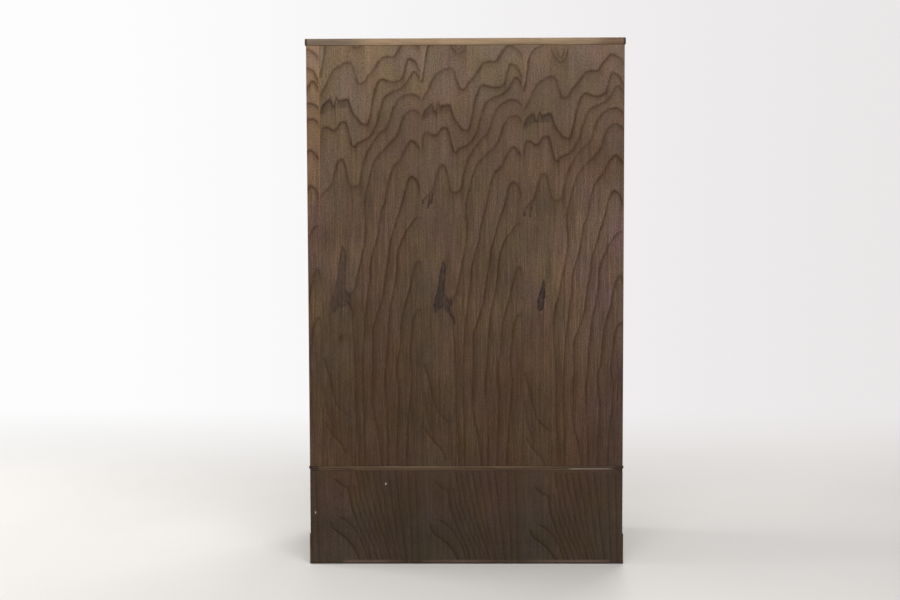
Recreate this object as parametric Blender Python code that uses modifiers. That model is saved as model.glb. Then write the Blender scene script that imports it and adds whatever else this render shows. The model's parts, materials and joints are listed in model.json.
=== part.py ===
"""Clothing tansu in two stacked sections: a tall case with two doors and a drawer,
on a low base with a second drawer and a plinth.

Units are metres. The front faces -Y, the veneered back faces +Y and the floor is at Z = 0.
Left and right are as seen from the front.
"""

import math

import bmesh
import bpy
from mathutils import Matrix, Vector

# Overall sizes
CASE_WIDTH = 0.906
CASE_DEPTH = 0.450
TOTAL_HEIGHT = 1.515
BASE_HEIGHT = 0.280
PLINTH_HEIGHT = 0.089

# Fits: still pieces keep the seat gap, turning and sliding ones the running gap
SEAT_GAP = 0.0003
RUNNING_GAP = 0.0004
EDGE_EASING = 0.001

# Case boards
SIDE_THICKNESS = 0.020
BACK_THICKNESS = 0.006
BACK_FLOOR_CLEARANCE = 0.001
TOP_THICKNESS = 0.020
TOP_OVERHANG = 0.0035
TOP_ROUNDING = 0.003
TOP_DADO_DEPTH = 0.006
UPPER_FLOOR_THICKNESS = 0.018
UPPER_LIP_THICKNESS = 0.007
UPPER_LIP_OVERHANG = 0.0025
BASE_TOP_THICKNESS = 0.018
BASE_TOP_LIP_THICKNESS = 0.006
BASE_FLOOR_THICKNESS = 0.012
BASE_FLOOR_HOUSING = 0.010
PLINTH_THICKNESS = 0.024
PLINTH_OVERHANG = 0.0027
PLINTH_ROUNDING = 0.002
SILL_THICKNESS = 0.018
SHELF_THICKNESS = 0.015
SHELF_SETBACK = 0.010
HOUSING_DEPTH = 0.006
UPPER_DRAWER_OPENING = 0.190

# Doors
DOOR_THICKNESS = 0.022
DOOR_CLEARANCE = 0.0015
MEETING_CLEARANCE = 0.002
STILE_WIDTH = 0.070
RAIL_HEIGHT = 0.075
TENON_LENGTH = 0.030
TENON_THICKNESS = 0.008
TENON_SHOULDER = 0.015
DOOR_PANEL_THICKNESS = 0.008
DOOR_PANEL_RECESS = 0.007
DOOR_GROOVE_DEPTH = 0.008
DOOR_STOP_SIZE = 0.012

# Drawers
DRAWER_SIDE_CLEARANCE = 0.001
DRAWER_TOP_CLEARANCE = 0.002
DRAWER_BACK_CLEARANCE = 0.0005
DRAWER_FRONT_THICKNESS = 0.018
DRAWER_FRONT_LAP = 0.006
DRAWER_WALL_THICKNESS = 0.011
DRAWER_WALL_DROP = 0.005
DRAWER_BOTTOM_THICKNESS = 0.007
DRAWER_BOTTOM_RAISE = 0.006
DRAWER_GROOVE_DEPTH = 0.005
JOINT_FINGERS = 5

# Iron plates, eyes and hinges
PLATE_THICKNESS = 0.002
EYE_OFFSET = 0.012
EYE_RADIUS = 0.0065
EYE_LENGTH = 0.009
STEM_RADIUS = 0.004
HINGE_HEIGHT = 0.072
HINGE_INSET = 0.130
KNUCKLE_RADIUS = 0.0045
KNUCKLE_STAND_OFF = 0.0002
CASE_KNUCKLE_LENGTH = 0.026
HINGE_PIN_RADIUS = 0.0022
HINGE_PIN_TAIL = 0.002
CASE_LEAF_WIDTH = 0.018
DOOR_LEAF_WIDTH = 0.056
LOCK_PLATE_RADIUS = 0.062
KEYHOLE_RADIUS = 0.004
KEYHOLE_SLOT_WIDTH = 0.0035
KEYHOLE_SLOT_DROP = 0.011
KEYHOLE_FROM_EDGE = 0.014
KEYHOLE_ABOVE_RING = 0.026
LOCK_SIDE = 1

# Ring pulls on the doors
RING_RADIUS = 0.021
RING_WIRE_RADIUS = 0.003
RING_FROM_MEETING_EDGE = 0.034
ROSE_RADIUS = 0.010
ROSE_THICKNESS = 0.0015

# Bail pulls on the drawers
PULL_FROM_SIDE = 0.218
PULL_ABOVE_MIDDLE = 0.016
PULL_EYE_SPACING = 0.116
PULL_DISC_RADIUS = 0.014
PULL_STRAP_HEIGHT = 0.010
BAIL_WIDTH = 0.144
BAIL_DROP = 0.040
BAIL_BOW = 0.005
BAIL_TOP_BEND = 0.008
BAIL_FOOT_BEND = 0.014
BAIL_PIN_RADIUS = 0.003
BAIL_BELLY_RADIUS = 0.0044
BAIL_PIN_TAIL = 0.002

# Facets, and how meshes are cleaned and marked
ROUND_SEGMENTS = 20
RING_SEGMENTS = 28
RING_WIRE_SEGMENTS = 10
BEND_STEPS = 6
BELLY_STEPS = 6
BAIL_BEVEL_STEPS = 2
SHARP_ANGLE_DEG = 40
WELD_DISTANCE = 0.000001
AXIS_MARK_SIZE = 0.03

# Places that several pieces share
HALF_WIDTH = CASE_WIDTH / 2
INNER_X = HALF_WIDTH - SIDE_THICKNESS
FRONT_REACH = EYE_OFFSET + EYE_RADIUS
FRONT_Y = (FRONT_REACH - CASE_DEPTH) / 2
BACK_Y = FRONT_Y + CASE_DEPTH
PANEL_Y = BACK_Y - BACK_THICKNESS
INSIDE_BACK_Y = PANEL_Y - SEAT_GAP
TOP_Z = TOTAL_HEIGHT - TOP_THICKNESS
UPPER_LIP_Z = BASE_HEIGHT + SEAT_GAP + UPPER_LIP_THICKNESS
UPPER_FLOOR_Z = BASE_HEIGHT + SEAT_GAP + UPPER_FLOOR_THICKNESS
SILL_Z = UPPER_FLOOR_Z + UPPER_DRAWER_OPENING
DOORWAY_Z = SILL_Z + SILL_THICKNESS
BASE_LIP_Z = BASE_HEIGHT - BASE_TOP_LIP_THICKNESS
BASE_CEILING_Z = BASE_HEIGHT - BASE_TOP_THICKNESS
BASE_FLOOR_Z = PLINTH_HEIGHT + SEAT_GAP + BASE_FLOOR_THICKNESS
SHELF_FRONT_Y = FRONT_Y + DOOR_THICKNESS + SHELF_SETBACK
PLATE_Y = FRONT_Y - SEAT_GAP - PLATE_THICKNESS / 2
PLATE_FRONT_Y = FRONT_Y - SEAT_GAP - PLATE_THICKNESS
EYE_Y = FRONT_Y - EYE_OFFSET
PULL_FROM_MIDDLE = HALF_WIDTH - PULL_FROM_SIDE

SIDES = (("left", -1), ("right", 1))

# Colour, roughness and metallic value of each finish
FINISHES = {
    "stained_case": ((0.088, 0.053, 0.034), 0.45, 0.0),
    "matched_veneer": ((0.105, 0.067, 0.044), 0.50, 0.0),
    "worn_board": ((0.165, 0.115, 0.076), 0.55, 0.0),
    "bare_paulownia": ((0.400, 0.285, 0.180), 0.70, 0.0),
    "black_iron": ((0.024, 0.022, 0.020), 0.55, 0.85),
}


def clear_scene():
    for item in list(bpy.data.objects):
        bpy.data.objects.remove(item, do_unlink=True)


def new_collection(name):
    collection = bpy.data.collections.new(name)
    bpy.context.scene.collection.children.link(collection)
    return collection


def make_finish(name):
    colour, roughness, metallic = FINISHES[name]
    material = bpy.data.materials.new(name)
    material.use_nodes = True
    shader = material.node_tree.nodes["Principled BSDF"]
    shader.inputs["Base Color"].default_value = (*colour, 1.0)
    shader.inputs["Roughness"].default_value = roughness
    shader.inputs["Metallic"].default_value = metallic
    return material


def across(side, near, far):
    """The X range from near to far, measured outwards from the middle on one side."""
    return tuple(sorted((side * near, side * far)))


def grown(limits, clearance):
    return (limits[0] - clearance, limits[1] + clearance)


def world_place(item):
    place = Vector()
    while item:
        place += item.location
        item = item.parent
    return place


def add_object(name, data, place, carrier, collection):
    """Puts an object at a place in the world, parented to its carrier."""
    item = bpy.data.objects.new(name, data)
    collection.objects.link(item)
    item.parent = carrier
    item.location = Vector(place) - world_place(carrier)
    return item


def add_axis(name, place, carrier=None):
    """An empty on the axis of a joint, which carries the pieces that move with it."""
    axis = add_object(name, None, place, carrier, PIECES)
    axis.empty_display_size = AXIS_MARK_SIZE
    return axis


def add_piece(name, data, place, finish, carrier):
    piece = add_object(name, data, place, carrier, PIECES)
    piece.data.materials.append(MATERIALS[finish])
    return piece


def block_mesh(name, blocks):
    """Separate blocks in one mesh, each given by its X, Y and Z ranges."""
    shape = bmesh.new()
    for ranges in blocks:
        size = [high - low for low, high in ranges]
        centre = [(low + high) / 2 for low, high in ranges]
        matrix = Matrix.Translation(centre) @ Matrix.Diagonal((*size, 1.0))
        bmesh.ops.create_cube(shape, size=1.0, matrix=matrix)
    mesh = bpy.data.meshes.new(name)
    shape.to_mesh(mesh)
    shape.free()
    return mesh


def rod_mesh(name, direction, rods):
    """Separate round rods in one mesh, each given by its centre, radius and length."""
    turn = Vector(direction).to_track_quat("Z", "Y").to_matrix().to_4x4()
    shape = bmesh.new()
    for centre, radius, length in rods:
        bmesh.ops.create_cone(
            shape,
            cap_ends=True,
            segments=ROUND_SEGMENTS,
            radius1=radius,
            radius2=radius,
            depth=length,
            matrix=Matrix.Translation(centre) @ turn,
        )
    mesh = bpy.data.meshes.new(name)
    shape.to_mesh(mesh)
    shape.free()
    mesh.shade_smooth()
    mesh.set_sharp_from_angle(angle=math.radians(SHARP_ANGLE_DEG))
    return mesh


def plate_mesh(name, outline):
    """A plate in the XZ plane, cut to an outline of X and Z points, with its middle at Y = 0."""
    curve = bpy.data.curves.new(name, "CURVE")
    curve.dimensions = "2D"
    curve.fill_mode = "BOTH"
    curve.extrude = PLATE_THICKNESS / 2
    spline = curve.splines.new("POLY")
    spline.points.add(len(outline) - 1)
    for point, (x, z) in zip(spline.points, outline):
        point.co = (x, z, 0.0, 1.0)
    spline.use_cyclic_u = True
    sketch = bpy.data.objects.new(name, curve)
    TOOLS.objects.link(sketch)
    evaluated = sketch.evaluated_get(bpy.context.evaluated_depsgraph_get())
    mesh = bpy.data.meshes.new_from_object(evaluated)
    bpy.data.objects.remove(sketch)
    mesh.transform(Matrix.Rotation(math.radians(90), 4, "X"))
    shape = bmesh.new()
    shape.from_mesh(mesh)
    bmesh.ops.remove_doubles(shape, verts=shape.verts, dist=WELD_DISTANCE)
    bmesh.ops.recalc_face_normals(shape, faces=shape.faces)
    shape.to_mesh(mesh)
    shape.free()
    return mesh


def arc(centre, radius, start_deg, end_deg, steps=BEND_STEPS):
    """Points along an arc, both ends included."""
    points = []
    for step in range(steps + 1):
        angle = math.radians(start_deg + (end_deg - start_deg) * step / steps)
        points.append((centre[0] + radius * math.cos(angle), centre[1] + radius * math.sin(angle)))
    return points


def ease(piece, width, segments=1):
    bevel = piece.modifiers.new("eased_edges", "BEVEL")
    bevel.width = width
    bevel.segments = segments
    bevel.limit_method = "ANGLE"


def combine(piece, operation, mesh):
    """Adds a tool's shape, given in world places, to a piece or takes it away."""
    tool = add_object(piece.name + "_tool", mesh, (0, 0, 0), piece.parent, TOOLS)
    tool.hide_render = True
    tool.display_type = "WIRE"
    change = piece.modifiers.new(operation.lower(), "BOOLEAN")
    change.operation = operation
    change.object = tool


def cut(piece, *blocks):
    """Takes blocks that don't touch each other out of a piece."""
    combine(piece, "DIFFERENCE", block_mesh(piece.name + "_cut", blocks))


def join(piece, *blocks):
    """Adds blocks that don't touch each other to a piece."""
    combine(piece, "UNION", block_mesh(piece.name + "_added", blocks))


def board(name, x, y, z, finish, carrier=None, easing=EDGE_EASING, segments=1):
    """A board with eased edges that fills its X, Y and Z ranges."""
    centre = Vector([sum(limits) / 2 for limits in (x, y, z)])
    local = [grown((0, 0), (limits[1] - limits[0]) / 2) for limits in (x, y, z)]
    piece = add_piece(name, block_mesh(name, [local]), centre, finish, carrier)
    ease(piece, easing, segments)
    return piece


def build_top():
    """The top board, with a dado under each end for the top of a side."""
    top = board(
        "top_board",
        (-HALF_WIDTH - TOP_OVERHANG, HALF_WIDTH + TOP_OVERHANG),
        (FRONT_Y - TOP_OVERHANG, BACK_Y),
        (TOP_Z, TOTAL_HEIGHT),
        "worn_board",
        easing=TOP_ROUNDING,
        segments=2,
    )
    dado_y = grown((FRONT_Y, INSIDE_BACK_Y), SEAT_GAP)
    dado_z = (TOP_Z - TOP_THICKNESS, TOP_Z + TOP_DADO_DEPTH)
    dados = [(grown(across(side, INNER_X, HALF_WIDTH), SEAT_GAP), dado_y, dado_z) for _, side in SIDES]
    cut(top, *dados)


def shelf_levels():
    """Undersides of the shelves, which share out the doorway evenly."""
    names = ("lower_shelf", "upper_shelf")
    clear = (TOP_Z - DOORWAY_Z - len(names) * SHELF_THICKNESS) / (len(names) + 1)
    return [(name, DOORWAY_Z + clear + step * (clear + SHELF_THICKNESS)) for step, name in enumerate(names)]


def build_upper_sides():
    """The tall sides, housed for the sill and the shelves."""
    housed = [(FRONT_Y - SIDE_THICKNESS, SILL_Z, SILL_Z + SILL_THICKNESS)]
    housed += [(SHELF_FRONT_Y - SEAT_GAP, low, low + SHELF_THICKNESS) for _, low in shelf_levels()]
    for label, side in SIDES:
        wall = board(
            f"upper_{label}_side",
            across(side, INNER_X, HALF_WIDTH),
            (FRONT_Y, INSIDE_BACK_Y),
            (UPPER_LIP_Z + SEAT_GAP, TOP_Z + TOP_DADO_DEPTH - SEAT_GAP),
            "stained_case",
        )
        dado_x = across(side, INNER_X - HOUSING_DEPTH, INNER_X + HOUSING_DEPTH)
        dados = [(dado_x, (start, BACK_Y), grown((low, high), SEAT_GAP)) for start, low, high in housed]
        cut(wall, *dados)


def build_upper_floor():
    """The upper section's floor: a lip under the sides and back, and a raised field between them."""
    lip_x = HALF_WIDTH + UPPER_LIP_OVERHANG
    floor = board(
        "upper_bottom_board",
        (-lip_x, lip_x),
        (FRONT_Y - UPPER_LIP_OVERHANG, BACK_Y),
        (BASE_HEIGHT + SEAT_GAP, UPPER_LIP_Z),
        "worn_board",
    )
    field_x = INNER_X - SEAT_GAP
    field_z = (UPPER_LIP_Z - UPPER_LIP_THICKNESS / 2, UPPER_FLOOR_Z)
    join(floor, ((-field_x, field_x), (FRONT_Y, INSIDE_BACK_Y), field_z))


def build_sill_and_shelves():
    reach = INNER_X + HOUSING_DEPTH - SEAT_GAP
    board(
        "door_sill_board",
        (-reach, reach),
        (FRONT_Y, INSIDE_BACK_Y),
        (SILL_Z, DOORWAY_Z),
        "stained_case",
    )
    for name, low in shelf_levels():
        board(
            name,
            (-reach, reach),
            (SHELF_FRONT_Y, INSIDE_BACK_Y),
            (low, low + SHELF_THICKNESS),
            "bare_paulownia",
        )


def build_door_stop():
    """The strip under the top board that the doors close against."""
    reach = INNER_X - SEAT_GAP
    front_y = FRONT_Y + DOOR_THICKNESS + RUNNING_GAP
    board(
        "door_stop_strip",
        (-reach, reach),
        (front_y, front_y + DOOR_STOP_SIZE),
        (TOP_Z - SEAT_GAP - DOOR_STOP_SIZE, TOP_Z - SEAT_GAP),
        "stained_case",
    )


def build_backs():
    """The thin veneered panels that cover the rear edges of both sections."""
    upper_z = (UPPER_LIP_Z + SEAT_GAP, TOP_Z - SEAT_GAP)
    base_z = (BACK_FLOOR_CLEARANCE, BASE_LIP_Z - SEAT_GAP)
    for name, z in (("upper_back_panel", upper_z), ("base_back_panel", base_z)):
        board(name, (-HALF_WIDTH, HALF_WIDTH), (PANEL_Y, BACK_Y), z, "matched_veneer")


def build_base():
    """The base section's sides, top and floor."""
    top = board(
        "base_top_board",
        (-HALF_WIDTH, HALF_WIDTH),
        (FRONT_Y, BACK_Y),
        (BASE_LIP_Z, BASE_HEIGHT),
        "stained_case",
    )
    field_x = INNER_X - SEAT_GAP
    field_z = (BASE_CEILING_Z, BASE_LIP_Z + BASE_TOP_LIP_THICKNESS / 2)
    join(top, ((-field_x, field_x), (FRONT_Y, INSIDE_BACK_Y), field_z))
    for label, side in SIDES:
        wall = board(
            f"base_{label}_side",
            across(side, INNER_X, HALF_WIDTH),
            (FRONT_Y, INSIDE_BACK_Y),
            (PLINTH_HEIGHT + SEAT_GAP, BASE_LIP_Z - SEAT_GAP),
            "stained_case",
        )
        rebate_x = across(side, INNER_X - BASE_FLOOR_HOUSING, INNER_X + BASE_FLOOR_HOUSING)
        rebate_y = grown((FRONT_Y, INSIDE_BACK_Y), SIDE_THICKNESS)
        cut(wall, (rebate_x, rebate_y, (0.0, BASE_FLOOR_Z + SEAT_GAP)))
    reach = INNER_X + BASE_FLOOR_HOUSING - SEAT_GAP
    board(
        "base_bottom_board",
        (-reach, reach),
        (FRONT_Y, INSIDE_BACK_Y),
        (PLINTH_HEIGHT + SEAT_GAP, BASE_FLOOR_Z),
        "stained_case",
    )


def build_plinth():
    """Three plinth boards. The side ones are rebated behind for the base's back panel."""
    outer_x = HALF_WIDTH + PLINTH_OVERHANG
    front_y = FRONT_Y - PLINTH_OVERHANG
    board(
        "plinth_front",
        (-outer_x, outer_x),
        (front_y, front_y + PLINTH_THICKNESS),
        (0.0, PLINTH_HEIGHT),
        "stained_case",
        easing=PLINTH_ROUNDING,
        segments=2,
    )
    for label, side in SIDES:
        rail = board(
            f"plinth_{label}",
            across(side, outer_x - PLINTH_THICKNESS, outer_x),
            (front_y + PLINTH_THICKNESS + SEAT_GAP, BACK_Y),
            (0.0, PLINTH_HEIGHT),
            "stained_case",
            easing=PLINTH_ROUNDING,
            segments=2,
        )
        rebate_x = across(side, outer_x - 2 * PLINTH_THICKNESS, HALF_WIDTH + SEAT_GAP)
        rebate_y = (INSIDE_BACK_Y, BACK_Y + BACK_THICKNESS)
        cut(rail, (rebate_x, rebate_y, grown((0.0, PLINTH_HEIGHT), PLINTH_HEIGHT)))


def hinge_axis(side):
    """Plan place of a door's hinge axis, in front of the gap beside the door."""
    x = side * (INNER_X - DOOR_CLEARANCE / 2)
    y = FRONT_Y - SEAT_GAP - KNUCKLE_STAND_OFF - KNUCKLE_RADIUS
    return x, y


def add_hinge(label, side, level, height, axis):
    """One hinge: a leaf with the pin on the case, and a leaf with two knuckles on the door."""
    axis_x, axis_y = hinge_axis(side)
    half = HINGE_HEIGHT / 2
    half_case = CASE_KNUCKLE_LENGTH / 2
    notch = half_case + RUNNING_GAP
    clear = KNUCKLE_RADIUS + RUNNING_GAP
    place = (axis_x, PLATE_Y, height)

    case_outline = [(-CASE_LEAF_WIDTH, -half), (-clear, -half), (-clear, -half_case), (0.0, -half_case)]
    case_outline += [(x, -z) for x, z in reversed(case_outline)]
    case_outline = [(side * -x, z) for x, z in case_outline]
    name = f"{label}_door_{level}_hinge_case_leaf"
    leaf = add_piece(name, plate_mesh(name, case_outline), place, "black_iron", None)
    knuckle = ((axis_x, axis_y, height), KNUCKLE_RADIUS, CASE_KNUCKLE_LENGTH)
    pin = ((axis_x, axis_y, height), HINGE_PIN_RADIUS, HINGE_HEIGHT + 2 * HINGE_PIN_TAIL)
    combine(leaf, "UNION", rod_mesh("case_knuckle", (0, 0, 1), [knuckle]))
    combine(leaf, "UNION", rod_mesh("hinge_pin", (0, 0, 1), [pin]))

    tip = arc((DOOR_LEAF_WIDTH - half, 0.0), half, -90, 90, 2 * BEND_STEPS)
    door_outline = [(0.0, -half), *tip, (0.0, half)]
    door_outline += [(0.0, notch), (clear, notch), (clear, -notch), (0.0, -notch)]
    door_outline = [(side * -x, z) for x, z in door_outline]
    name = f"{label}_door_{level}_hinge_door_leaf"
    leaf = add_piece(name, plate_mesh(name, door_outline), place, "black_iron", axis)
    length = half - notch
    offset = notch + length / 2
    knuckles = [((axis_x, axis_y, height + way * offset), KNUCKLE_RADIUS, length) for way in (-1, 1)]
    bore = ((axis_x, axis_y, height), HINGE_PIN_RADIUS + RUNNING_GAP, 2 * HINGE_HEIGHT)
    combine(leaf, "UNION", rod_mesh("door_knuckles", (0, 0, 1), knuckles))
    combine(leaf, "DIFFERENCE", rod_mesh("pin_bore", (0, 0, 1), [bore]))


def add_eyes(piece, xs, z, root_y, bore_radius):
    """Eyes on stems that stand out from a plate, bored along X."""
    overlap = PLATE_THICKNESS / 2
    stem_length = root_y + overlap - EYE_Y
    stems = [((x, EYE_Y + stem_length / 2, z), STEM_RADIUS, stem_length) for x in xs]
    eyes = [((x, EYE_Y, z), EYE_RADIUS, EYE_LENGTH) for x in xs]
    bores = [((x, EYE_Y, z), bore_radius, 2 * EYE_LENGTH) for x in xs]
    combine(piece, "UNION", rod_mesh("stems", (0, 1, 0), stems))
    combine(piece, "UNION", rod_mesh("eyes", (1, 0, 0), eyes))
    combine(piece, "DIFFERENCE", rod_mesh("eye_bores", (1, 0, 0), bores))


def add_keyhole(piece, z):
    """A keyhole through the lock plate."""
    x = LOCK_SIDE * (MEETING_CLEARANCE / 2 + KEYHOLE_FROM_EDGE)
    hole_z = z + KEYHOLE_ABOVE_RING
    hole = ((x, PLATE_Y, hole_z), KEYHOLE_RADIUS, 2 * PLATE_THICKNESS)
    combine(piece, "DIFFERENCE", rod_mesh("keyhole", (0, 1, 0), [hole]))
    slot_x = grown((x, x), KEYHOLE_SLOT_WIDTH / 2)
    slot_y = grown((PLATE_Y, PLATE_Y), PLATE_THICKNESS)
    cut(piece, (slot_x, slot_y, (hole_z - KEYHOLE_SLOT_DROP, hole_z)))


def add_ring_pull(label, side, z, door_axis):
    """Half of the round lock plate, with a ring hanging from an eye on it."""
    edge_x = side * MEETING_CLEARANCE / 2
    rim = arc((0.0, 0.0), LOCK_PLATE_RADIUS, -90, 90, 4 * BEND_STEPS)
    outline = [(side * x, height) for x, height in rim]
    name = f"{label}_lock_plate"
    plate = add_piece(name, plate_mesh(name, outline), (edge_x, PLATE_Y, z), "black_iron", door_axis)
    if side == LOCK_SIDE:
        add_keyhole(plate, z)

    ring_x = edge_x + side * RING_FROM_MEETING_EDGE
    rose_y = PLATE_FRONT_Y - SEAT_GAP - ROSE_THICKNESS / 2
    rose = rod_mesh(f"{label}_ring_post", (0, 1, 0), [((0, 0, 0), ROSE_RADIUS, ROSE_THICKNESS)])
    post = add_piece(f"{label}_ring_post", rose, (ring_x, rose_y, z), "black_iron", door_axis)
    sag = (EYE_LENGTH / 2) ** 2 / (2 * RING_RADIUS)
    add_eyes(post, [ring_x], z, rose_y - PLATE_THICKNESS / 2, RING_WIRE_RADIUS + sag + RUNNING_GAP)

    ring_axis = add_axis(f"{label}_ring_axis", (ring_x, EYE_Y, z), door_axis)
    bpy.ops.mesh.primitive_torus_add(
        major_segments=RING_SEGMENTS,
        minor_segments=RING_WIRE_SEGMENTS,
        major_radius=RING_RADIUS,
        minor_radius=RING_WIRE_RADIUS,
    )
    torus = bpy.context.object
    mesh = torus.data
    bpy.data.objects.remove(torus)
    mesh.transform(Matrix.Translation((0, 0, -RING_RADIUS)) @ Matrix.Rotation(math.radians(90), 4, "X"))
    mesh.shade_smooth()
    add_piece(f"{label}_ring", mesh, (ring_x, EYE_Y, z), "black_iron", ring_axis)


def build_door(label, side):
    """A frame-and-panel door on two hinges, with tenoned rails and a panel in grooves."""
    low_z = DOORWAY_Z + DOOR_CLEARANCE
    high_z = TOP_Z - DOOR_CLEARANCE
    meeting_x = MEETING_CLEARANCE / 2
    hinge_x = INNER_X - DOOR_CLEARANCE
    opening = (meeting_x + STILE_WIDTH, hinge_x - STILE_WIDTH)
    door_y = (FRONT_Y, FRONT_Y + DOOR_THICKNESS)
    panel_y = (FRONT_Y + DOOR_PANEL_RECESS, FRONT_Y + DOOR_PANEL_RECESS + DOOR_PANEL_THICKNESS)
    groove_y = grown(panel_y, SEAT_GAP)
    tenon_y = grown((sum(door_y) / 2, sum(door_y) / 2), TENON_THICKNESS / 2)
    rails = (("bottom", (low_z, low_z + RAIL_HEIGHT)), ("top", (high_z - RAIL_HEIGHT, high_z)))
    light_z = (low_z + RAIL_HEIGHT, high_z - RAIL_HEIGHT)
    middle_z = (low_z + high_z) / 2
    axis = add_axis(f"{label}_door_axis", (*hinge_axis(side), middle_z))

    stiles = (("hinge", (opening[1], hinge_x)), ("meeting", (meeting_x, opening[0])))
    for kind, limits in stiles:
        stile = board(
            f"{label}_door_{kind}_stile", across(side, *limits), door_y, (low_z, high_z), "stained_case", axis
        )
        sockets = [
            (
                across(side, opening[0] - TENON_LENGTH, opening[1] + TENON_LENGTH),
                grown(tenon_y, SEAT_GAP),
                grown(rail_z, SEAT_GAP - TENON_SHOULDER),
            )
            for _, rail_z in rails
        ]
        groove_x = across(side, opening[0] - DOOR_GROOVE_DEPTH, opening[1] + DOOR_GROOVE_DEPTH)
        cut(stile, *sockets, (groove_x, groove_y, grown(light_z, DOOR_GROOVE_DEPTH)))

    shoulders = grown(opening, -SEAT_GAP)
    for kind, rail_z in rails:
        rail = board(
            f"{label}_door_{kind}_rail", across(side, *shoulders), door_y, rail_z, "stained_case", axis
        )
        tenon_x = grown(opening, TENON_LENGTH - SEAT_GAP)
        join(rail, (across(side, *tenon_x), tenon_y, grown(rail_z, -TENON_SHOULDER)))
        cut(rail, (across(side, *grown(opening, STILE_WIDTH)), groove_y, grown(light_z, DOOR_GROOVE_DEPTH)))

    tongue = DOOR_GROOVE_DEPTH - SEAT_GAP
    board(
        f"{label}_door_panel",
        across(side, *grown(opening, tongue)),
        panel_y,
        grown(light_z, tongue),
        "matched_veneer",
        axis,
    )
    add_hinge(label, side, "lower", low_z + HINGE_INSET, axis)
    add_hinge(label, side, "upper", high_z - HINGE_INSET, axis)
    add_ring_pull(label, side, middle_z, axis)


def bail_path():
    """Half of a bail in its own plane, from the middle of the belly to the end of a pin."""
    leg_x = BAIL_WIDTH / 2
    flat = leg_x - BAIL_FOOT_BEND
    path = []
    for step in range(BELLY_STEPS):
        share = step / BELLY_STEPS
        path.append((flat * share, -BAIL_DROP - BAIL_BOW * (1 - share**2)))
    path += arc((flat, BAIL_FOOT_BEND - BAIL_DROP), BAIL_FOOT_BEND, -90, 0)
    path += arc((leg_x - BAIL_TOP_BEND, -BAIL_TOP_BEND), BAIL_TOP_BEND, 0, 90)
    path.append(((PULL_EYE_SPACING - EYE_LENGTH) / 2 - BAIL_PIN_TAIL, 0.0))
    return path


def bail_curve(name):
    """A bail of forged rod, thick in the belly and thin at the pins."""
    half = bail_path()
    path = [(-x, z) for x, z in reversed(half[1:])] + half
    curve = bpy.data.curves.new(name, "CURVE")
    curve.dimensions = "3D"
    curve.bevel_depth = BAIL_BELLY_RADIUS
    curve.bevel_resolution = BAIL_BEVEL_STEPS
    curve.use_fill_caps = True
    spline = curve.splines.new("POLY")
    spline.points.add(len(path) - 1)
    thin = BAIL_PIN_RADIUS / BAIL_BELLY_RADIUS
    for point, (x, z) in zip(spline.points, path):
        point.co = (x, 0.0, z, 1.0)
        fullness = min(1.0, -z / (BAIL_DROP + BAIL_BOW))
        point.radius = thin + (1 - thin) * fullness
    return curve


def pull_outline():
    """Two discs joined by a strap."""
    spread = PULL_EYE_SPACING / 2
    open_deg = math.degrees(math.asin(PULL_STRAP_HEIGHT / 2 / PULL_DISC_RADIUS))
    right = arc((spread, 0.0), PULL_DISC_RADIUS, open_deg - 180, 180 - open_deg, 3 * BEND_STEPS)
    return right + [(-x, -z) for x, z in right]


def add_bail_pull(name, x, z, carrier):
    """A bail hanging from two eyes on a shaped plate."""
    plate_name = f"{name}_pull_plate"
    plate_data = plate_mesh(plate_name, pull_outline())
    plate = add_piece(plate_name, plate_data, (x, PLATE_Y, z), "black_iron", carrier)
    eye_xs = [x - PULL_EYE_SPACING / 2, x + PULL_EYE_SPACING / 2]
    add_eyes(plate, eye_xs, z, PLATE_FRONT_Y, BAIL_PIN_RADIUS + RUNNING_GAP)
    add_piece(f"{name}_bail", bail_curve(f"{name}_bail"), (x, EYE_Y, z), "black_iron", carrier)


def finger_bands(z):
    """The joint's bands in a drawer wall, as the even ones and the odd ones."""
    height = (z[1] - z[0]) / JOINT_FINGERS
    bands = [(z[0] + step * height, z[0] + (step + 1) * height) for step in range(JOINT_FINGERS)]
    return bands[0::2], bands[1::2]


def grown_end(band, limits):
    """A band that runs past the end of the wall where it is the first or the last one."""
    low, high = band
    if low <= limits[0]:
        low -= SIDE_THICKNESS
    if high >= limits[1] - SEAT_GAP:
        high += SIDE_THICKNESS
    return low, high


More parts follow.
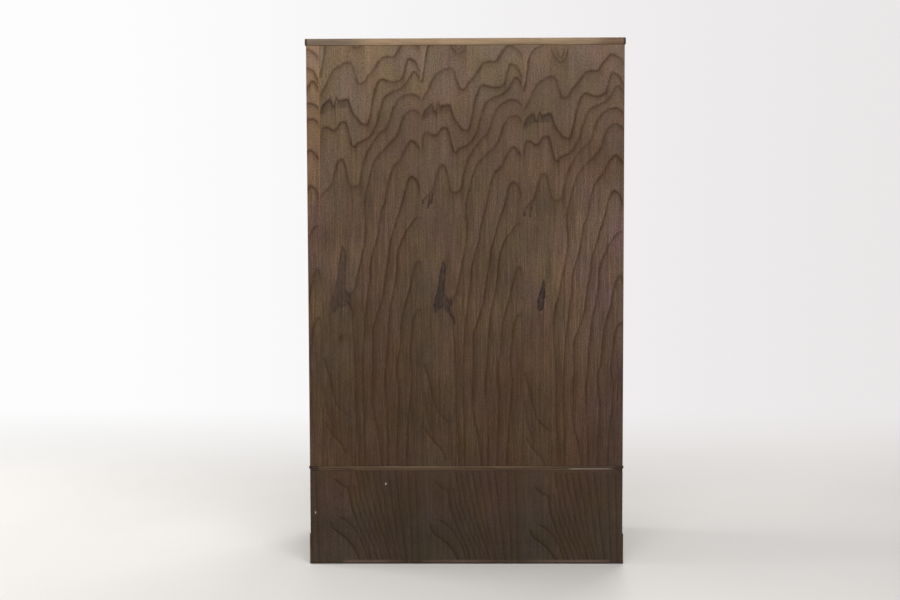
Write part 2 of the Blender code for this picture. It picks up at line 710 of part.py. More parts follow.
def build_drawer(name, floor_z, ceiling_z):
    """A finger-jointed drawer with a lapped front, on the floor of its opening."""
    outer_x = INNER_X - DRAWER_SIDE_CLEARANCE
    wall_x = outer_x - DRAWER_WALL_THICKNESS
    front_z = (floor_z + SEAT_GAP, ceiling_z - DRAWER_TOP_CLEARANCE)
    wall_z = (front_z[0], front_z[1] - DRAWER_WALL_DROP)
    front_y = (FRONT_Y, FRONT_Y + DRAWER_FRONT_THICKNESS)
    back_outer_y = PANEL_Y - DRAWER_BACK_CLEARANCE
    back_y = (back_outer_y - DRAWER_WALL_THICKNESS, back_outer_y)
    bottom_low = front_z[0] + DRAWER_BOTTOM_RAISE
    bottom_z = (bottom_low, bottom_low + DRAWER_BOTTOM_THICKNESS)
    even, odd = finger_bands(wall_z)
    groove_x = wall_x + DRAWER_GROOVE_DEPTH
    groove_y = (front_y[1] - DRAWER_GROOVE_DEPTH, back_y[0] + DRAWER_GROOVE_DEPTH)
    groove = ((-groove_x, groove_x), groove_y, grown(bottom_z, SEAT_GAP))
    slide = add_axis(f"{name}_slide", (0.0, FRONT_Y, front_z[0]))

    front = board(f"{name}_front", (-outer_x, outer_x), front_y, front_z, "stained_case", slide)
    socket_y = (FRONT_Y + DRAWER_FRONT_LAP, front_y[1] + DRAWER_FRONT_THICKNESS)
    sockets = [
        (across(side, wall_x - SEAT_GAP, outer_x + SIDE_THICKNESS), socket_y, grown(band, SEAT_GAP))
        for _, side in SIDES
        for band in even
    ]
    cut(front, *sockets)
    cut(front, groove)

    for label, side in SIDES:
        wall_y = (FRONT_Y + DRAWER_FRONT_LAP + SEAT_GAP, back_y[1])
        wall = board(
            f"{name}_{label}_side", across(side, wall_x, outer_x), wall_y, wall_z, "bare_paulownia", slide
        )
        through_x = across(side, wall_x - DRAWER_WALL_THICKNESS, outer_x + DRAWER_WALL_THICKNESS)
        front_notch = (FRONT_Y, front_y[1] + SEAT_GAP)
        back_notch = (back_y[0] - SEAT_GAP, PANEL_Y)
        cut(wall, *[(through_x, front_notch, band) for band in odd])
        cut(wall, *[(through_x, back_notch, grown_end(band, wall_z)) for band in even])
        cut(wall, groove)

    back = board(f"{name}_back", (-outer_x, outer_x), back_y, wall_z, "bare_paulownia", slide)
    through_y = grown(back_y, SIDE_THICKNESS)
    notches = [
        (across(side, wall_x - SEAT_GAP, outer_x + SIDE_THICKNESS), through_y, grown(band, SEAT_GAP))
        for _, side in SIDES
        for band in odd
    ]
    cut(back, *notches)
    cut(back, groove)

    board(
        f"{name}_bottom",
        grown(groove[0], -SEAT_GAP),
        grown(groove_y, -SEAT_GAP),
        bottom_z,
        "bare_paulownia",
        slide,
    )
    pull_z = sum(front_z) / 2 + PULL_ABOVE_MIDDLE
    for label, side in SIDES:
        add_bail_pull(f"{name}_{label}", side * PULL_FROM_MIDDLE, pull_z, slide)


clear_scene()
PIECES = new_collection("clothing_tansu")
TOOLS = new_collection("clothing_tansu_tools")
MATERIALS = {name: make_finish(name) for name in FINISHES}

build_top()
build_upper_sides()
build_upper_floor()
build_sill_and_shelves()
build_door_stop()
build_backs()
build_base()
build_plinth()
for door_label, door_side in SIDES:
    build_door(door_label, door_side)
build_drawer("upper_drawer", UPPER_FLOOR_Z, SILL_Z)
build_drawer("base_drawer", BASE_FLOOR_Z, BASE_CEILING_Z)
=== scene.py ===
"""Looks of the clothing tansu: woods, iron, small iron fittings, floor, lights and the photograph's camera.

Metres throughout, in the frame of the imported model. The photograph shows the back, from +Y.
"""

import json
import math
from functools import partial, partialmethod

import bpy
from mathutils import Matrix, Vector


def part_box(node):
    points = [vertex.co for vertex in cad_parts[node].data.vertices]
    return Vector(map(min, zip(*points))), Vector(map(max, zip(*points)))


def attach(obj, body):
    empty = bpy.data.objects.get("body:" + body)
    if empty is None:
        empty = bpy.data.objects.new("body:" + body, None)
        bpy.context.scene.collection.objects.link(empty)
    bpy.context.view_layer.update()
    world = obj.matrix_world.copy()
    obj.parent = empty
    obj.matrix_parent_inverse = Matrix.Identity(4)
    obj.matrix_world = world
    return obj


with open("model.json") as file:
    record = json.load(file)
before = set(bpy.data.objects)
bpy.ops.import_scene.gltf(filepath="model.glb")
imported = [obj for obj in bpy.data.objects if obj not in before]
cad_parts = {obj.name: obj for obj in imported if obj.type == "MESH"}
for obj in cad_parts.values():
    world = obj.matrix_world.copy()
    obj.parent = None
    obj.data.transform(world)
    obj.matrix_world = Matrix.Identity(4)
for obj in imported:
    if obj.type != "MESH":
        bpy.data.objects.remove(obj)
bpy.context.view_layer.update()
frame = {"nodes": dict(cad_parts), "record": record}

# Camera, fitted to the outline of the back in the photograph, with its turns in degrees: to face the back,
# up to a little below level, and a slight roll
LENS_MM = 50.0
CAMERA_PLACE = (0.0, 3.821, 0.984)
CAMERA_TURNS = ((180.72, "Z"), (86.58, "X"), (-0.18, "Z"))

# Floor, background and light. Lamps have a place, a target, a size and a power. A pair is where a change
# starts and ends, and noises are given as scale, detail and, for some, roughness, here and below.
FLOOR_SIZE = 40.0
FLOOR_COLOUR = (0.785, 0.765, 0.735)
WALL_LIT = (0.985, 0.985, 0.985)
WALL_DIM = (0.825, 0.800, 0.805)
WALL_TURN = 0.36
WALL_FADE = (-0.60, -3.00)
BACK_FADE = (0.80, 2.60)
FLOOR_FADE = (2.6, 5.5)
# Painted shadow on the floor, darker towards -X where the chest's shadow falls: where it starts and ends, and
# its darkest level
FLOOR_PAINTED_SHADOW_X = (-0.9, 0.9)
FLOOR_PAINTED_SHADOW = 0.88
WORLD_LIGHT = 0.40
FLOOR_ROUGHNESS = 0.55
FLOOR_SHINE = 0.10
FLOOR_SPECKS = (90.0, 4.0, 0.6)
FLOOR_CLOUDS = (1.6, 3.0)
FLOOR_MARKS = 0.08
VIEW_ASIDE = (0.75, 0.42)
VIEW_DOWN = (-0.42, -0.31)
AHEAD_LEAST = 0.05
LAMPS = (
    ("key", (-0.3, 2.5, 3.5), (0.0, 0.2, 0.8), (2.6, 1.6), 82.0),
    ("window", (3.8, -0.3, 2.3), (0.4, 0.2, 0.1), (2.2, 2.0), 85.0),
    ("front", (-1.6, -3.6, 2.8), (0.0, 0.0, 0.8), (2.6, 2.0), 76.0),
)

# Veneer leaves on the back: where the first seam is, how wide a leaf is, and how far each one slipped down
MM = 0.001
HALF_WIDTH = 0.453
FIRST_SEAM = 0.0375
LEAF_WIDTH = 0.2895
LEAF_DROPS = (0.025, 0.0, 0.0175, 0.0425)
BASE_LEAF_DROPS = (0.006, 0.0, 0.009, 0.024)

# Grain lines of one leaf in mm. Wave lines give the depth below the leaf's top at places across it, from
# its left edge; falling lines give the place across at depths below the top. Then comes the darkness and, for
# a line that only some leaves have, the numbers of those leaves.
WAVE_LINES = (
    (((0, 141), (12, 124), (32, 83), (44, 66), (60, 56), (76, 48), (87, 48), (95, 58), (107, 94), (117, 107),
      (126, 104), (136, 90), (158, 64), (170, 46), (182, 34), (195, 30), (211, 30), (225, 13), (237, -3),
      (254, -15), (271, -7), (289, 13)), 0.85),
    (((0, 195), (5, 179), (22, 157), (31, 152), (36, 168), (42, 171), (49, 148), (54, 156), (65, 155),
      (78, 152), (86, 168), (93, 187), (104, 203), (123, 222), (131, 223), (138, 215), (148, 168), (155, 138),
      (162, 115), (169, 101), (178, 95), (190, 98), (207, 103), (223, 101), (236, 91), (243, 70), (249, 48),
      (257, 38), (265, 40), (284, 67), (289, 80)), 1.0),
    (((0, 278), (5, 253), (12, 231), (20, 230), (40, 239), (47, 235), (55, 222), (63, 216), (72, 217),
      (79, 230), (90, 272), (98, 286), (108, 277), (122, 270), (134, 264), (148, 247), (157, 231), (165, 209),
      (172, 185), (179, 163), (189, 144), (204, 133), (219, 127), (238, 117), (250, 103), (260, 86),
      (271, 75), (279, 82), (289, 101)), 0.95),
    (((0, 425), (14, 412), (28, 398), (35, 382), (46, 344), (53, 327), (61, 322), (69, 331), (80, 378),
      (87, 395), (98, 400), (108, 395), (115, 378), (126, 328), (134, 304), (145, 285), (172, 248),
      (188, 236), (197, 216), (205, 191), (213, 172), (226, 153), (241, 142), (260, 137), (276, 141),
      (289, 155)), 0.85),
    (((176, 303), (191, 287), (207, 272), (221, 250), (230, 225), (241, 200), (251, 187), (263, 182),
      (276, 184), (289, 199)), 0.9),
    (((205, 354), (213, 341), (229, 323), (237, 306), (243, 295), (252, 280), (263, 271), (270, 275),
      (278, 283), (289, 302)), 0.95),
    (((236, 440), (243, 412), (251, 384), (256, 375), (262, 371), (270, 375), (277, 382), (283, 397),
      (289, 425)), 1.0),
    (((258, 662), (264, 641), (269, 628), (275, 618), (280, 613), (285, 620), (291, 642)), 0.85),
    (((255, 822), (262, 791), (269, 769), (276, 755), (282, 751), (291, 757)), 0.9),
    (((68, 688), (71, 698), (77, 705), (83, 706), (92, 700), (98, 692)), 0.85, (0, 1)),
    (((80, -42), (88, -14), (97, -2), (106, 6), (115, 2), (124, -14), (132, -42)), 0.8),
    (((92, -42), (98, -22), (103, -11), (107, -7), (112, -11), (117, -24), (122, -42)), 0.6),
)
FALLING_LINES = (
    (((-43, 64), (-33, 39), (-21, 26), (-5, 18), (23, 13), (60, 8), (92, 0)), 0.8),
    (((296, 182), (316, 163), (334, 152), (359, 144), (388, 138), (416, 130), (441, 127), (500, 129),
      (531, 128), (562, 124), (606, 116), (662, 104), (683, 101), (697, 95)), 0.8),
    (((345, 210), (381, 196), (412, 190), (444, 185), (466, 176), (537, 163), (590, 149), (634, 141),
      (662, 140), (697, 135), (775, 126), (806, 124), (875, 119), (1000, 118), (1220, 123)), 0.8),
    (((425, 240), (469, 226), (516, 212), (572, 197), (606, 193), (669, 183), (706, 179), (734, 172),
      (787, 154), (812, 148), (850, 147), (1019, 146), (1050, 149), (1106, 160), (1156, 167), (1220, 171)),
      0.9),
    (((484, 283), (494, 269), (512, 257), (531, 243), (572, 226), (606, 219), (641, 217), (675, 213),
      (703, 207), (759, 197), (819, 191), (897, 187), (962, 182), (1000, 184), (1072, 188), (1220, 188)),
      0.85),
    (((640, 267), (653, 263), (712, 249), (766, 235), (794, 230), (859, 226), (903, 218), (994, 221),
      (1034, 219), (1220, 215)), 0.9),
    (((785, 267), (794, 263), (819, 260), (881, 255), (919, 258), (956, 259), (1019, 254), (1056, 249),
      (1144, 245), (1220, 243)), 0.9),
    (((722, 69), (744, 82), (762, 90), (780, 90)), 0.9, (0, 1)),
    (((683, 102), (700, 95), (720, 91), (750, 89), (780, 90)), 0.85, (2,)),
    (((770, 90), (794, 90), (837, 94), (962, 97), (1034, 98), (1103, 102), (1220, 106)), 0.85),
    (((890, 4), (912, 11), (930, 17), (965, 24), (1000, 33), (1028, 42), (1046, 58), (1064, 78)), 0.8),
    (((972, 5), (1031, 12), (1062, 18), (1084, 26), (1100, 42)), 0.5),
    (((1076, 6), (1098, 18), (1119, 33), (1145, 55), (1176, 66)), 0.8),
    (((1085, 83), (1220, 85)), 0.6),
    (((822, 57), (846, 51)), 1.0, (0,)),
)

# Dark flames and strokes in a leaf: its number, then depth, left side and right side in mm, then the
# darkness. Smudges are the same with soft sides, and every leaf has them.
SMUDGES = (
    (((150, 27, 33), (160, 17, 42), (170, 10, 40), (180, 6, 30), (192, 2, 12)), 0.50),
    (((152, 54, 80), (160, 50, 86), (168, 46, 84), (176, 44, 74)), 0.42),
)
FLAMES = (
    (1, ((400, 31, 34), (415, 29, 34), (432, 27, 31)), 1.2),
    (1, ((408, 23, 26), (425, 20, 25), (446, 18, 22)), 1.2),
    (1, ((420, 2, 6), (428, 1, 8), (434, 3, 7)), 1.2),
    (2, ((410, 24, 27), (425, 21, 26), (446, 18, 22)), 1.1),
    (2, ((428, 2, 6), (436, 1, 8), (444, 3, 6)), 1.1),
    (0, ((567, 61, 63), (583, 57, 69), (600, 53, 72), (615, 51, 74), (637, 49, 73), (669, 45, 71),
         (688, 41, 70), (701, 36, 73), (713, 31, 86), (730, 29, 85), (745, 28, 64), (749, 29, 46),
         (757, 31, 41), (763, 32, 34)), 0.85),
    (1, ((597, 61, 63), (604, 58, 67), (611, 55, 68), (633, 50, 68), (665, 47, 66), (684, 43, 66),
         (700, 39, 69), (709, 36, 77), (714, 35, 88), (720, 34, 68), (729, 34, 58), (734, 35, 48),
         (740, 36, 43), (748, 38, 39)), 1.25),
    (1, ((708, 76, 86), (716, 66, 89), (724, 63, 84), (738, 69, 80), (751, 79, 88), (767, 88, 95),
         (777, 91, 95)), 1.2),
    (2, ((625, 59, 62), (641, 56, 65), (655, 51, 65), (669, 47, 65), (684, 43, 63), (700, 42, 61),
         (709, 43, 58), (715, 48, 52)), 1.4),
)

# Grain lines of the base panel's leaves, in mm as above
BASE_LINES = (
    (((22, 34), (32, 44), (40, 52), (46, 62), (52, 72), (86, 78), (127, 89), (167, 104), (207, 121),
      (275, 140)), 0.62),
    (((40, 88), (86, 95), (127, 107), (167, 121), (207, 138), (242, 150), (275, 160)), 0.56),
    (((-20, 95), (35, 101), (86, 109), (127, 122), (173, 138), (213, 156), (275, 176)), 0.52),
    (((-20, 107), (35, 115), (81, 124), (127, 138), (173, 153), (213, 167), (275, 188)), 0.48),
    (((-20, 122), (29, 132), (86, 144), (138, 156), (190, 173), (275, 200)), 0.54),
    (((-20, 140), (29, 150), (86, 161), (138, 173), (190, 188), (275, 212)), 0.48),
    (((-20, 160), (35, 170), (86, 179), (144, 187), (200, 200), (275, 218)), 0.52),
    (((-20, 184), (35, 193), (86, 199), (150, 207), (275, 226)), 0.46),
    (((-20, 205), (35, 213), (86, 219), (150, 226), (275, 242)), 0.52),
    (((-20, 245), (150, 252), (280, 259)), 0.46),
    (((-20, 267), (150, 272), (280, 276)), 0.46),
    (((132, 40), (141, 58), (150, 72), (167, 86), (196, 104), (230, 118), (270, 130)), 0.56),
    (((147, 20), (158, 23), (170, 29), (182, 43), (193, 58), (210, 75), (230, 89), (248, 98), (275, 108)),
      0.70),
)

# Darkness across a grain line by distance in mm: sharp above or left of it, and a long soft fade on the
# other side. Wave lines are softer, and falling lines have a pale rim on the sharp side.
WAVE_PROFILE = ((-8.0, 0.0), (-5.5, 0.16), (-3.0, 0.43), (-1.0, 0.85), (1.2, 0.93), (3.2, 0.74), (6.0, 0.50),
                (11.0, 0.29), (20.0, 0.09), (32.0, 0.0))
FALL_PROFILE = ((-4.0, 0.0), (-2.4, 0.30), (-1.0, 0.88), (1.2, 1.0), (3.2, 0.74), (6.0, 0.44), (11.0, 0.23),
                (20.0, 0.08), (32.0, 0.0))
PALE_PROFILE = ((-10.0, 0.0), (-6.5, 0.55), (-4.2, 1.0), (-2.4, 0.4), (-1.0, 0.0))
STEEPEST = 4.0
LINE_ENDS = (2.0, 6.0)
LINE_DEPTH = 0.83
RIM_PALER = 0.09

# Grain of the veneer between its lines. Streaks are given as how thin and how long they are per mm, a layer
# of their own, detail and roughness. Patches are given as a noise, where it turns, the levels on both sides,
# a stretch and a shift. What varies by a number does so by half of it each way.
EVEN = (1.0, 1.0, 1.0)
BEND = (9.0, 2.0)
JITTER = (75.0, 2.0)
JITTER_STRETCH = (1.0, 1.0, 0.6)
HEAVE = (11.0, 2.0)
HEAVE_SHIFT = (3.1, 0.0, 1.7)
HEAVE_SHARE = 1.6
FINE_RING = 7.0
RING_SHIFT = (30.0, 3.0)
RING_SWING = 2.4
RING_EDGE = (0.42, 0.0)
RING_REACH = (110.0, 25.0)
FIBRE_STREAKS = (0.13, 0.006, 0.0, 4.5, 0.72)
HATCH_STREAKS = (0.75, 0.07, 3.3, 2.0, 0.6)
PORE_STREAKS = (1.5, 0.085, 7.0, 1.0, 0.5)
PORE_EDGE = (0.60, 0.72)
PORE_DEPTH = 0.22
MOTTLE = (240.0, 2.0, 0.6)
VENEER_CLOUDS = (7.0, 3.0, 0.55)
FADED = ((16.0, 2.0), (0.36, 0.60), (0.80, 1.06), EVEN, (0.0, 0.0, 5.3))
LINE_VARIES = 1.3
RING_VARIES = 1.5
CLOUD_VARIES = 0.75
SEAM_VARIES = 1.5
STREAK_VARIES = 1.9
SPECKLE_VARIES = 1.0
HUE = ((9.0, 1.5, 0.5), (0.40, 0.62), (0.0, 1.0), (1.0, 1.0, 0.55), (0.7, 0.0, 0.2))
COOL = ((12.0, 1.5, 0.5), (0.36, 0.64), (0.0, 1.0), (1.0, 1.0, 0.8), (4.3, 0.0, 2.9))
FLAME_RAGGED = (120.0, 2.0)
FLAME_RAGGED_MM = 7.0
FLAME_PATCHES = ((55.0, 3.0), (0.35, 0.60), (0.65, 1.0))
FLAME_ENDS = (4.0, 3.0)
FLAME_EDGE = (-2.0, 2.5)
FLAME_RIM = (6.0, 1.0)
FLAME_RIM_LEVEL = (0.58, 1.0)
SMUDGE_EDGE = (-6.0, 9.0)
FLAME_DEPTH = 0.9
SEAM_EDGE = (1.6, 0.4)
SEAM_DEPTH = 0.22
VENEER_BUMP = 0.0003
BASE_BUMP = 0.00025
VENEER_SHINE = 0.16
VENEER_RELIEF = 0.5
BACK_ROUGH = (0.45, 0.65)
BASE_ROUGH = (0.48, 0.66)
DOOR_ROUGH = (0.36, 0.54)
DOOR_TOP_DEPTH = 40.0

# Grain of a sawn board
BOARD_STEP = (1.7, 0.9, 2.3)
RING_LENGTH = 0.09
STREAK_LENGTH = 0.03
RING_DETAIL = (2.5, 0.45)
STAIN_RINGS = (7.0, 16.0)
BARE_RINGS = (6.0, 22.0)
RING_SHARPNESS = 5.0
RING_START = (0.10, 0.0)
RING_START_DARK = 0.6
BOARD_FIBRE = (190.0, 4.0, 0.7)
BOARD_HAIR = (900.0, 2.0, 0.6)
BOARD_PORES = (1300.0, 1.0)
BOARD_PORE_EDGE = (0.58, 0.70)
BOARD_CLOUDS = (5.0, 3.0, 0.55)
FIBRE_VARIES = 1.15
HAIR_VARIES = 0.55
SHADE_VARIES = 0.6
RINGS_VARY = 1.1
PORE_SHARE = 0.40
BOARD_RELIEF = (0.4, 0.15, -0.15, -0.5)
BOARD_BUMP = 0.00025
LIP_BUMP = 0.0002
STAIN_SHINE = 0.18
STAIN_COAT = 0.03
COAT_ROUGHNESS = 0.35
STAIN_ROUGH = (0.34, 0.54)
WORN_ROUGH = (0.42, 0.60)
BARE_ROUGH = (0.62, 0.80)
STAIN_LINES = 0.70
LIP_LINES = 0.60
BARE_LINES = 0.55
WORN_LINES = 0.20
RUB_RAGGED = (90.0, 3.0)
RUB_PATCHES = ((14.0, 3.0), (0.40, 0.62), (0.25, 1.0))
STAIN_RUB = 0.75
BARE_RUB = 0.55

# Iron
HAMMER = (130.0, 1.0)
GRIT = (900.0, 3.0, 0.6)
RUST = (45.0, 4.0, 0.6)
RUST_EDGE = (0.48, 0.72)
RUST_SHARE = 0.7
GRIT_VARIES = 0.8
HAMMER_RELIEF = 0.8
GRIT_RELIEF = 0.12
IRON_BUMP = 0.0006
IRON_ROUGH = (0.26, 0.52)
IRON_SHINE = 0.5
IRON_METAL = 0.55
# Painted shade behind the keyholes: its grain, roughness and shine
KEYHOLE_SHADE_GRAIN = (700.0, 2.0)
KEYHOLE_SHADE_ROUGH = (0.8, 0.95)
KEYHOLE_SHADE_SHINE = 0.1
SHARP_TURN_DEG = 35
WELD = 0.00001

# Woods: colours between the grain lines, in linear light, and where they change. A share is of the way down.
# The back panel goes from VENEER_TOP down to VENEER_FOOT: the wood's own colour with a painted reflection of
# the bright room above, which makes the top lighter and greyer
VENEER_TOP = (0.1715, 0.1215, 0.0770)
VENEER_MIDDLE = (0.1155, 0.0765, 0.0480)
VENEER_FOOT = (0.0790, 0.0488, 0.0279)
VENEER_LINE = (0.035, 0.013, 0.002)
MIDDLE_SHARE = (-0.04, 0.26)
FOOT_SHARE = (0.36, 0.85)
LINES_SHARE = (0.35, 0.80)
LINES_LEVEL = (1.0, 0.88)
STRAIGHT_SHARE = (0.10, 0.45)
RING_LEVEL = (0.36, 0.42)
STREAK_LEVEL = (0.9, 2.45)
SPECKLE_LEVEL = (1.25, 1.2)
DOOR_TONE = (0.116, 0.069, 0.041)
FLAME_COLOUR = (0.020, 0.012, 0.012)
BASE_TOP = (0.0693, 0.0421, 0.0268)
BASE_FOOT = (0.0568, 0.0403, 0.0270)
BASE_TURN = (0.200, 0.115)
FOOT_TURN = (0.070, 0.035)
FOOT_GAIN = 1.09
BASE_LINE = (0.031, 0.014, 0.003)
OLIVE = (0.985, 1.0, 0.975)
RUSSET = (1.06, 0.965, 0.985)
YELLOWED = (1.01, 1.005, 0.90)
GREYED = (0.985, 0.99, 1.07)
STRIP_TINT = (1.48, 1.37, 1.27)
STRIP_FOOT_TINT = (1.12, 1.10, 1.12)
STRIP_SHARE = (0.20, 0.50)
STRIP_EDGE = (FIRST_SEAM + 0.0005, FIRST_SEAM - 0.0005)
PURPLE = (1.12, 1.07, 1.13)
PURPLE_X = (-0.15, -0.40)
EDGE_TINT = (0.97, 1.0, 1.17)
EDGE_X = (-0.29, -0.38)
EDGE_SHARE = (0.28, 0.45)
STAIN_LIGHT = (0.092, 0.055, 0.0315)
STAIN_DARK = (0.036, 0.021, 0.014)
WORN_LIGHT = (0.335, 0.230, 0.136)
TOP_LEFT_END = (0.195, 0.141, 0.096)
TOP_RIGHT_END = (0.160, 0.097, 0.057)
LIP_LIGHT = (0.121, 0.081, 0.0445)
EDGE_LIGHT = (0.46, 0.41, 0.34)
STAIN_RUBBED = (0.230, 0.145, 0.085)
EDGE_REACH = (0.0032, 0.0004)
EDGE_RAGGED = 0.005
FOOT_WORN = (0.150, 0.098, 0.070)
FOOT_WORN_LEFT = (0.370, 0.345)
FOOT_WORN_RIGHT = (-0.425, -0.405)
FOOT_WORN_TOP = (0.013, 0.009)
FOOT_WORN_LOW = (0.002, 0.005)
FOOT_PATCHES = (0.30, 0.65)
# Painted contact shadow along the base panel's bottom edge: height where it ends and where it is full
FOOT_PAINTED_SHADOW = (0.0025, 0.0005)
FOOT_DEPTH = 0.8
TOP_LEFT_TURN = (0.250, 0.345)
TOP_RIGHT_TURN = (-0.340, -0.420)
TOP_REAR = (0.004, 0.002)
TOP_DARK_ENDS = (0.009, 0.005)
LIP_REAR_Y = (0.2312, 0.2330)
LIP_EASE = 0.0005
LIP_PATCHES = (0.35, 0.60)
LIP_LEVEL = (0.55, 1.0)
LIP_DARK_ENDS = (0.422, 0.434)
DARK_ENDS = 0.85
PAULOWNIA_LIGHT = (0.470, 0.338, 0.220)
PAULOWNIA_DARK = (0.300, 0.200, 0.115)
PAULOWNIA_GREY = (0.250, 0.175, 0.110)
CHIP_COLOUR = (0.36, 0.32, 0.26)
CHIP_RAGGED = 2.0
CHIP_EDGE = (1.2, 0.5)
IRON_DARK = (0.018, 0.017, 0.016)
IRON_BROWN = (0.052, 0.037, 0.028)
# Painted shade behind the keyholes: near-black colours in place of the dark inside a hole
KEYHOLE_SHADE = (0.004, 0.004, 0.004)
KEYHOLE_SHADE_BROWN = (0.010, 0.008, 0.007)

# Pale part of a lip's edge: where it starts and ends, how softly, from what height, its colour and strength
UPPER_LIP = (-0.170, 0.440, 0.06, 0.0, LIP_LIGHT, 0.80)
BASE_LIP = (-0.415, -0.300, 0.012, 0.2782, EDGE_LIGHT, 0.9)

# The room inside the case, on whose faces the wood is bare
INSIDE = ((-0.4334, 0.4334), (-0.2143, 0.2286), (0.1011, 1.4953))
INSIDE_EASE = 0.0006
BARE_ROUGHNESS = 0.72

# Broad patches on the two back panels: place across, place up, half width, half height and how much paler
PATCHES = (
    (0.407, 1.294, 0.225, 0.180, 0.17),
    (0.177, 1.452, 0.120, 0.080, 0.08),
    (-0.327, 1.366, 0.290, 0.215, -0.09),
    (0.190, 0.978, 0.175, 0.180, -0.11),
    (-0.270, 0.992, 0.080, 0.080, 0.08),
    (-0.039, 0.877, 0.065, 0.080, 0.09),
    (-0.448, 0.806, 0.260, 0.260, 0.29),
    (0.134, 0.590, 0.060, 0.220, -0.10),
    (-0.448, 0.360, 0.100, 0.170, -0.10),
)
BASE_PATCHES = (
    (0.105, 0.150, 0.160, 0.130, -0.14),
    (0.290, 0.217, 0.130, 0.110, 0.09),
    (-0.327, 0.145, 0.130, 0.140, 0.08),
    (0.420, 0.045, 0.070, 0.060, 0.12),
)

PATCH_EDGE = (1.5, 0.0)

# White chips in the base's back: place across, place up, half width and half height
CHIPS = ((0.233, 0.2357, 0.0028, 0.0038), (0.438, 0.1517, 0.0022, 0.0040))

# Iron fittings that the solids leave out, tacks and drawer lock plates, and near-black sheets of painted
# shade behind the keyholes, standing in for the dark inside a hole
PLATE_FACE_Y = -0.21805
PLATE_BACK_Y = -0.21605
TACK_RADIUS = 0.0026
TACK_HEIGHT = 0.0015
TACK_SIDES = 20
TACK_PROFILE = ((1.0, 0.0), (0.98, 0.22), (0.86, 0.55), (0.62, 0.82), (0.32, 0.96))
DOOR_LEAF_TACKS = ((0.390, 0.0), (0.4145, -0.025), (0.4145, 0.025))
CASE_LEAF_TACKS = ((0.4445, -0.024), (0.4445, 0.024))
PULL_TACKS_X = (-0.026, 0.026)
LOCK_TACK_RING = 0.054
LOCK_TACK_TURNS_DEG = (-74, -37, 0, 37, 74)
DRAWER_LOCK_DROP = 0.036
LOBE_OFFSET = 0.014
LOBE_RADIUS = 0.015
LOCK_EASE = 0.0006
LOCK_POINTS = 128
KEYHOLE_RADIUS = 0.0032
KEYHOLE_SLOT = (0.0014, 0.0095)
DOOR_KEYHOLE = (0.015, 1.02665)
LEAST_COSINE = 0.001
# Sheets of painted shade behind the keyholes: radii across and up, and the places of their two faces
SHADE_SHEET_RADII = (0.0098, 0.014)
SHADE_SHEET_FACES_Y = (-0.21598, -0.21580)


class Num:
    """A number in a shader. Arithmetic on it adds Math nodes to its graph."""

    def __init__(self, graph, socket):
        self.graph = graph
        self.socket = socket

    def join(self, operation, other):
        return self.graph.math(operation, self, other)

    def __rsub__(self, other):
        return self.graph.math("SUBTRACT", other, self)

    __add__ = __radd__ = partialmethod(join, "ADD")
    __sub__ = partialmethod(join, "SUBTRACT")
    __mul__ = __rmul__ = partialmethod(join, "MULTIPLY")
    __truediv__ = partialmethod(join, "DIVIDE")


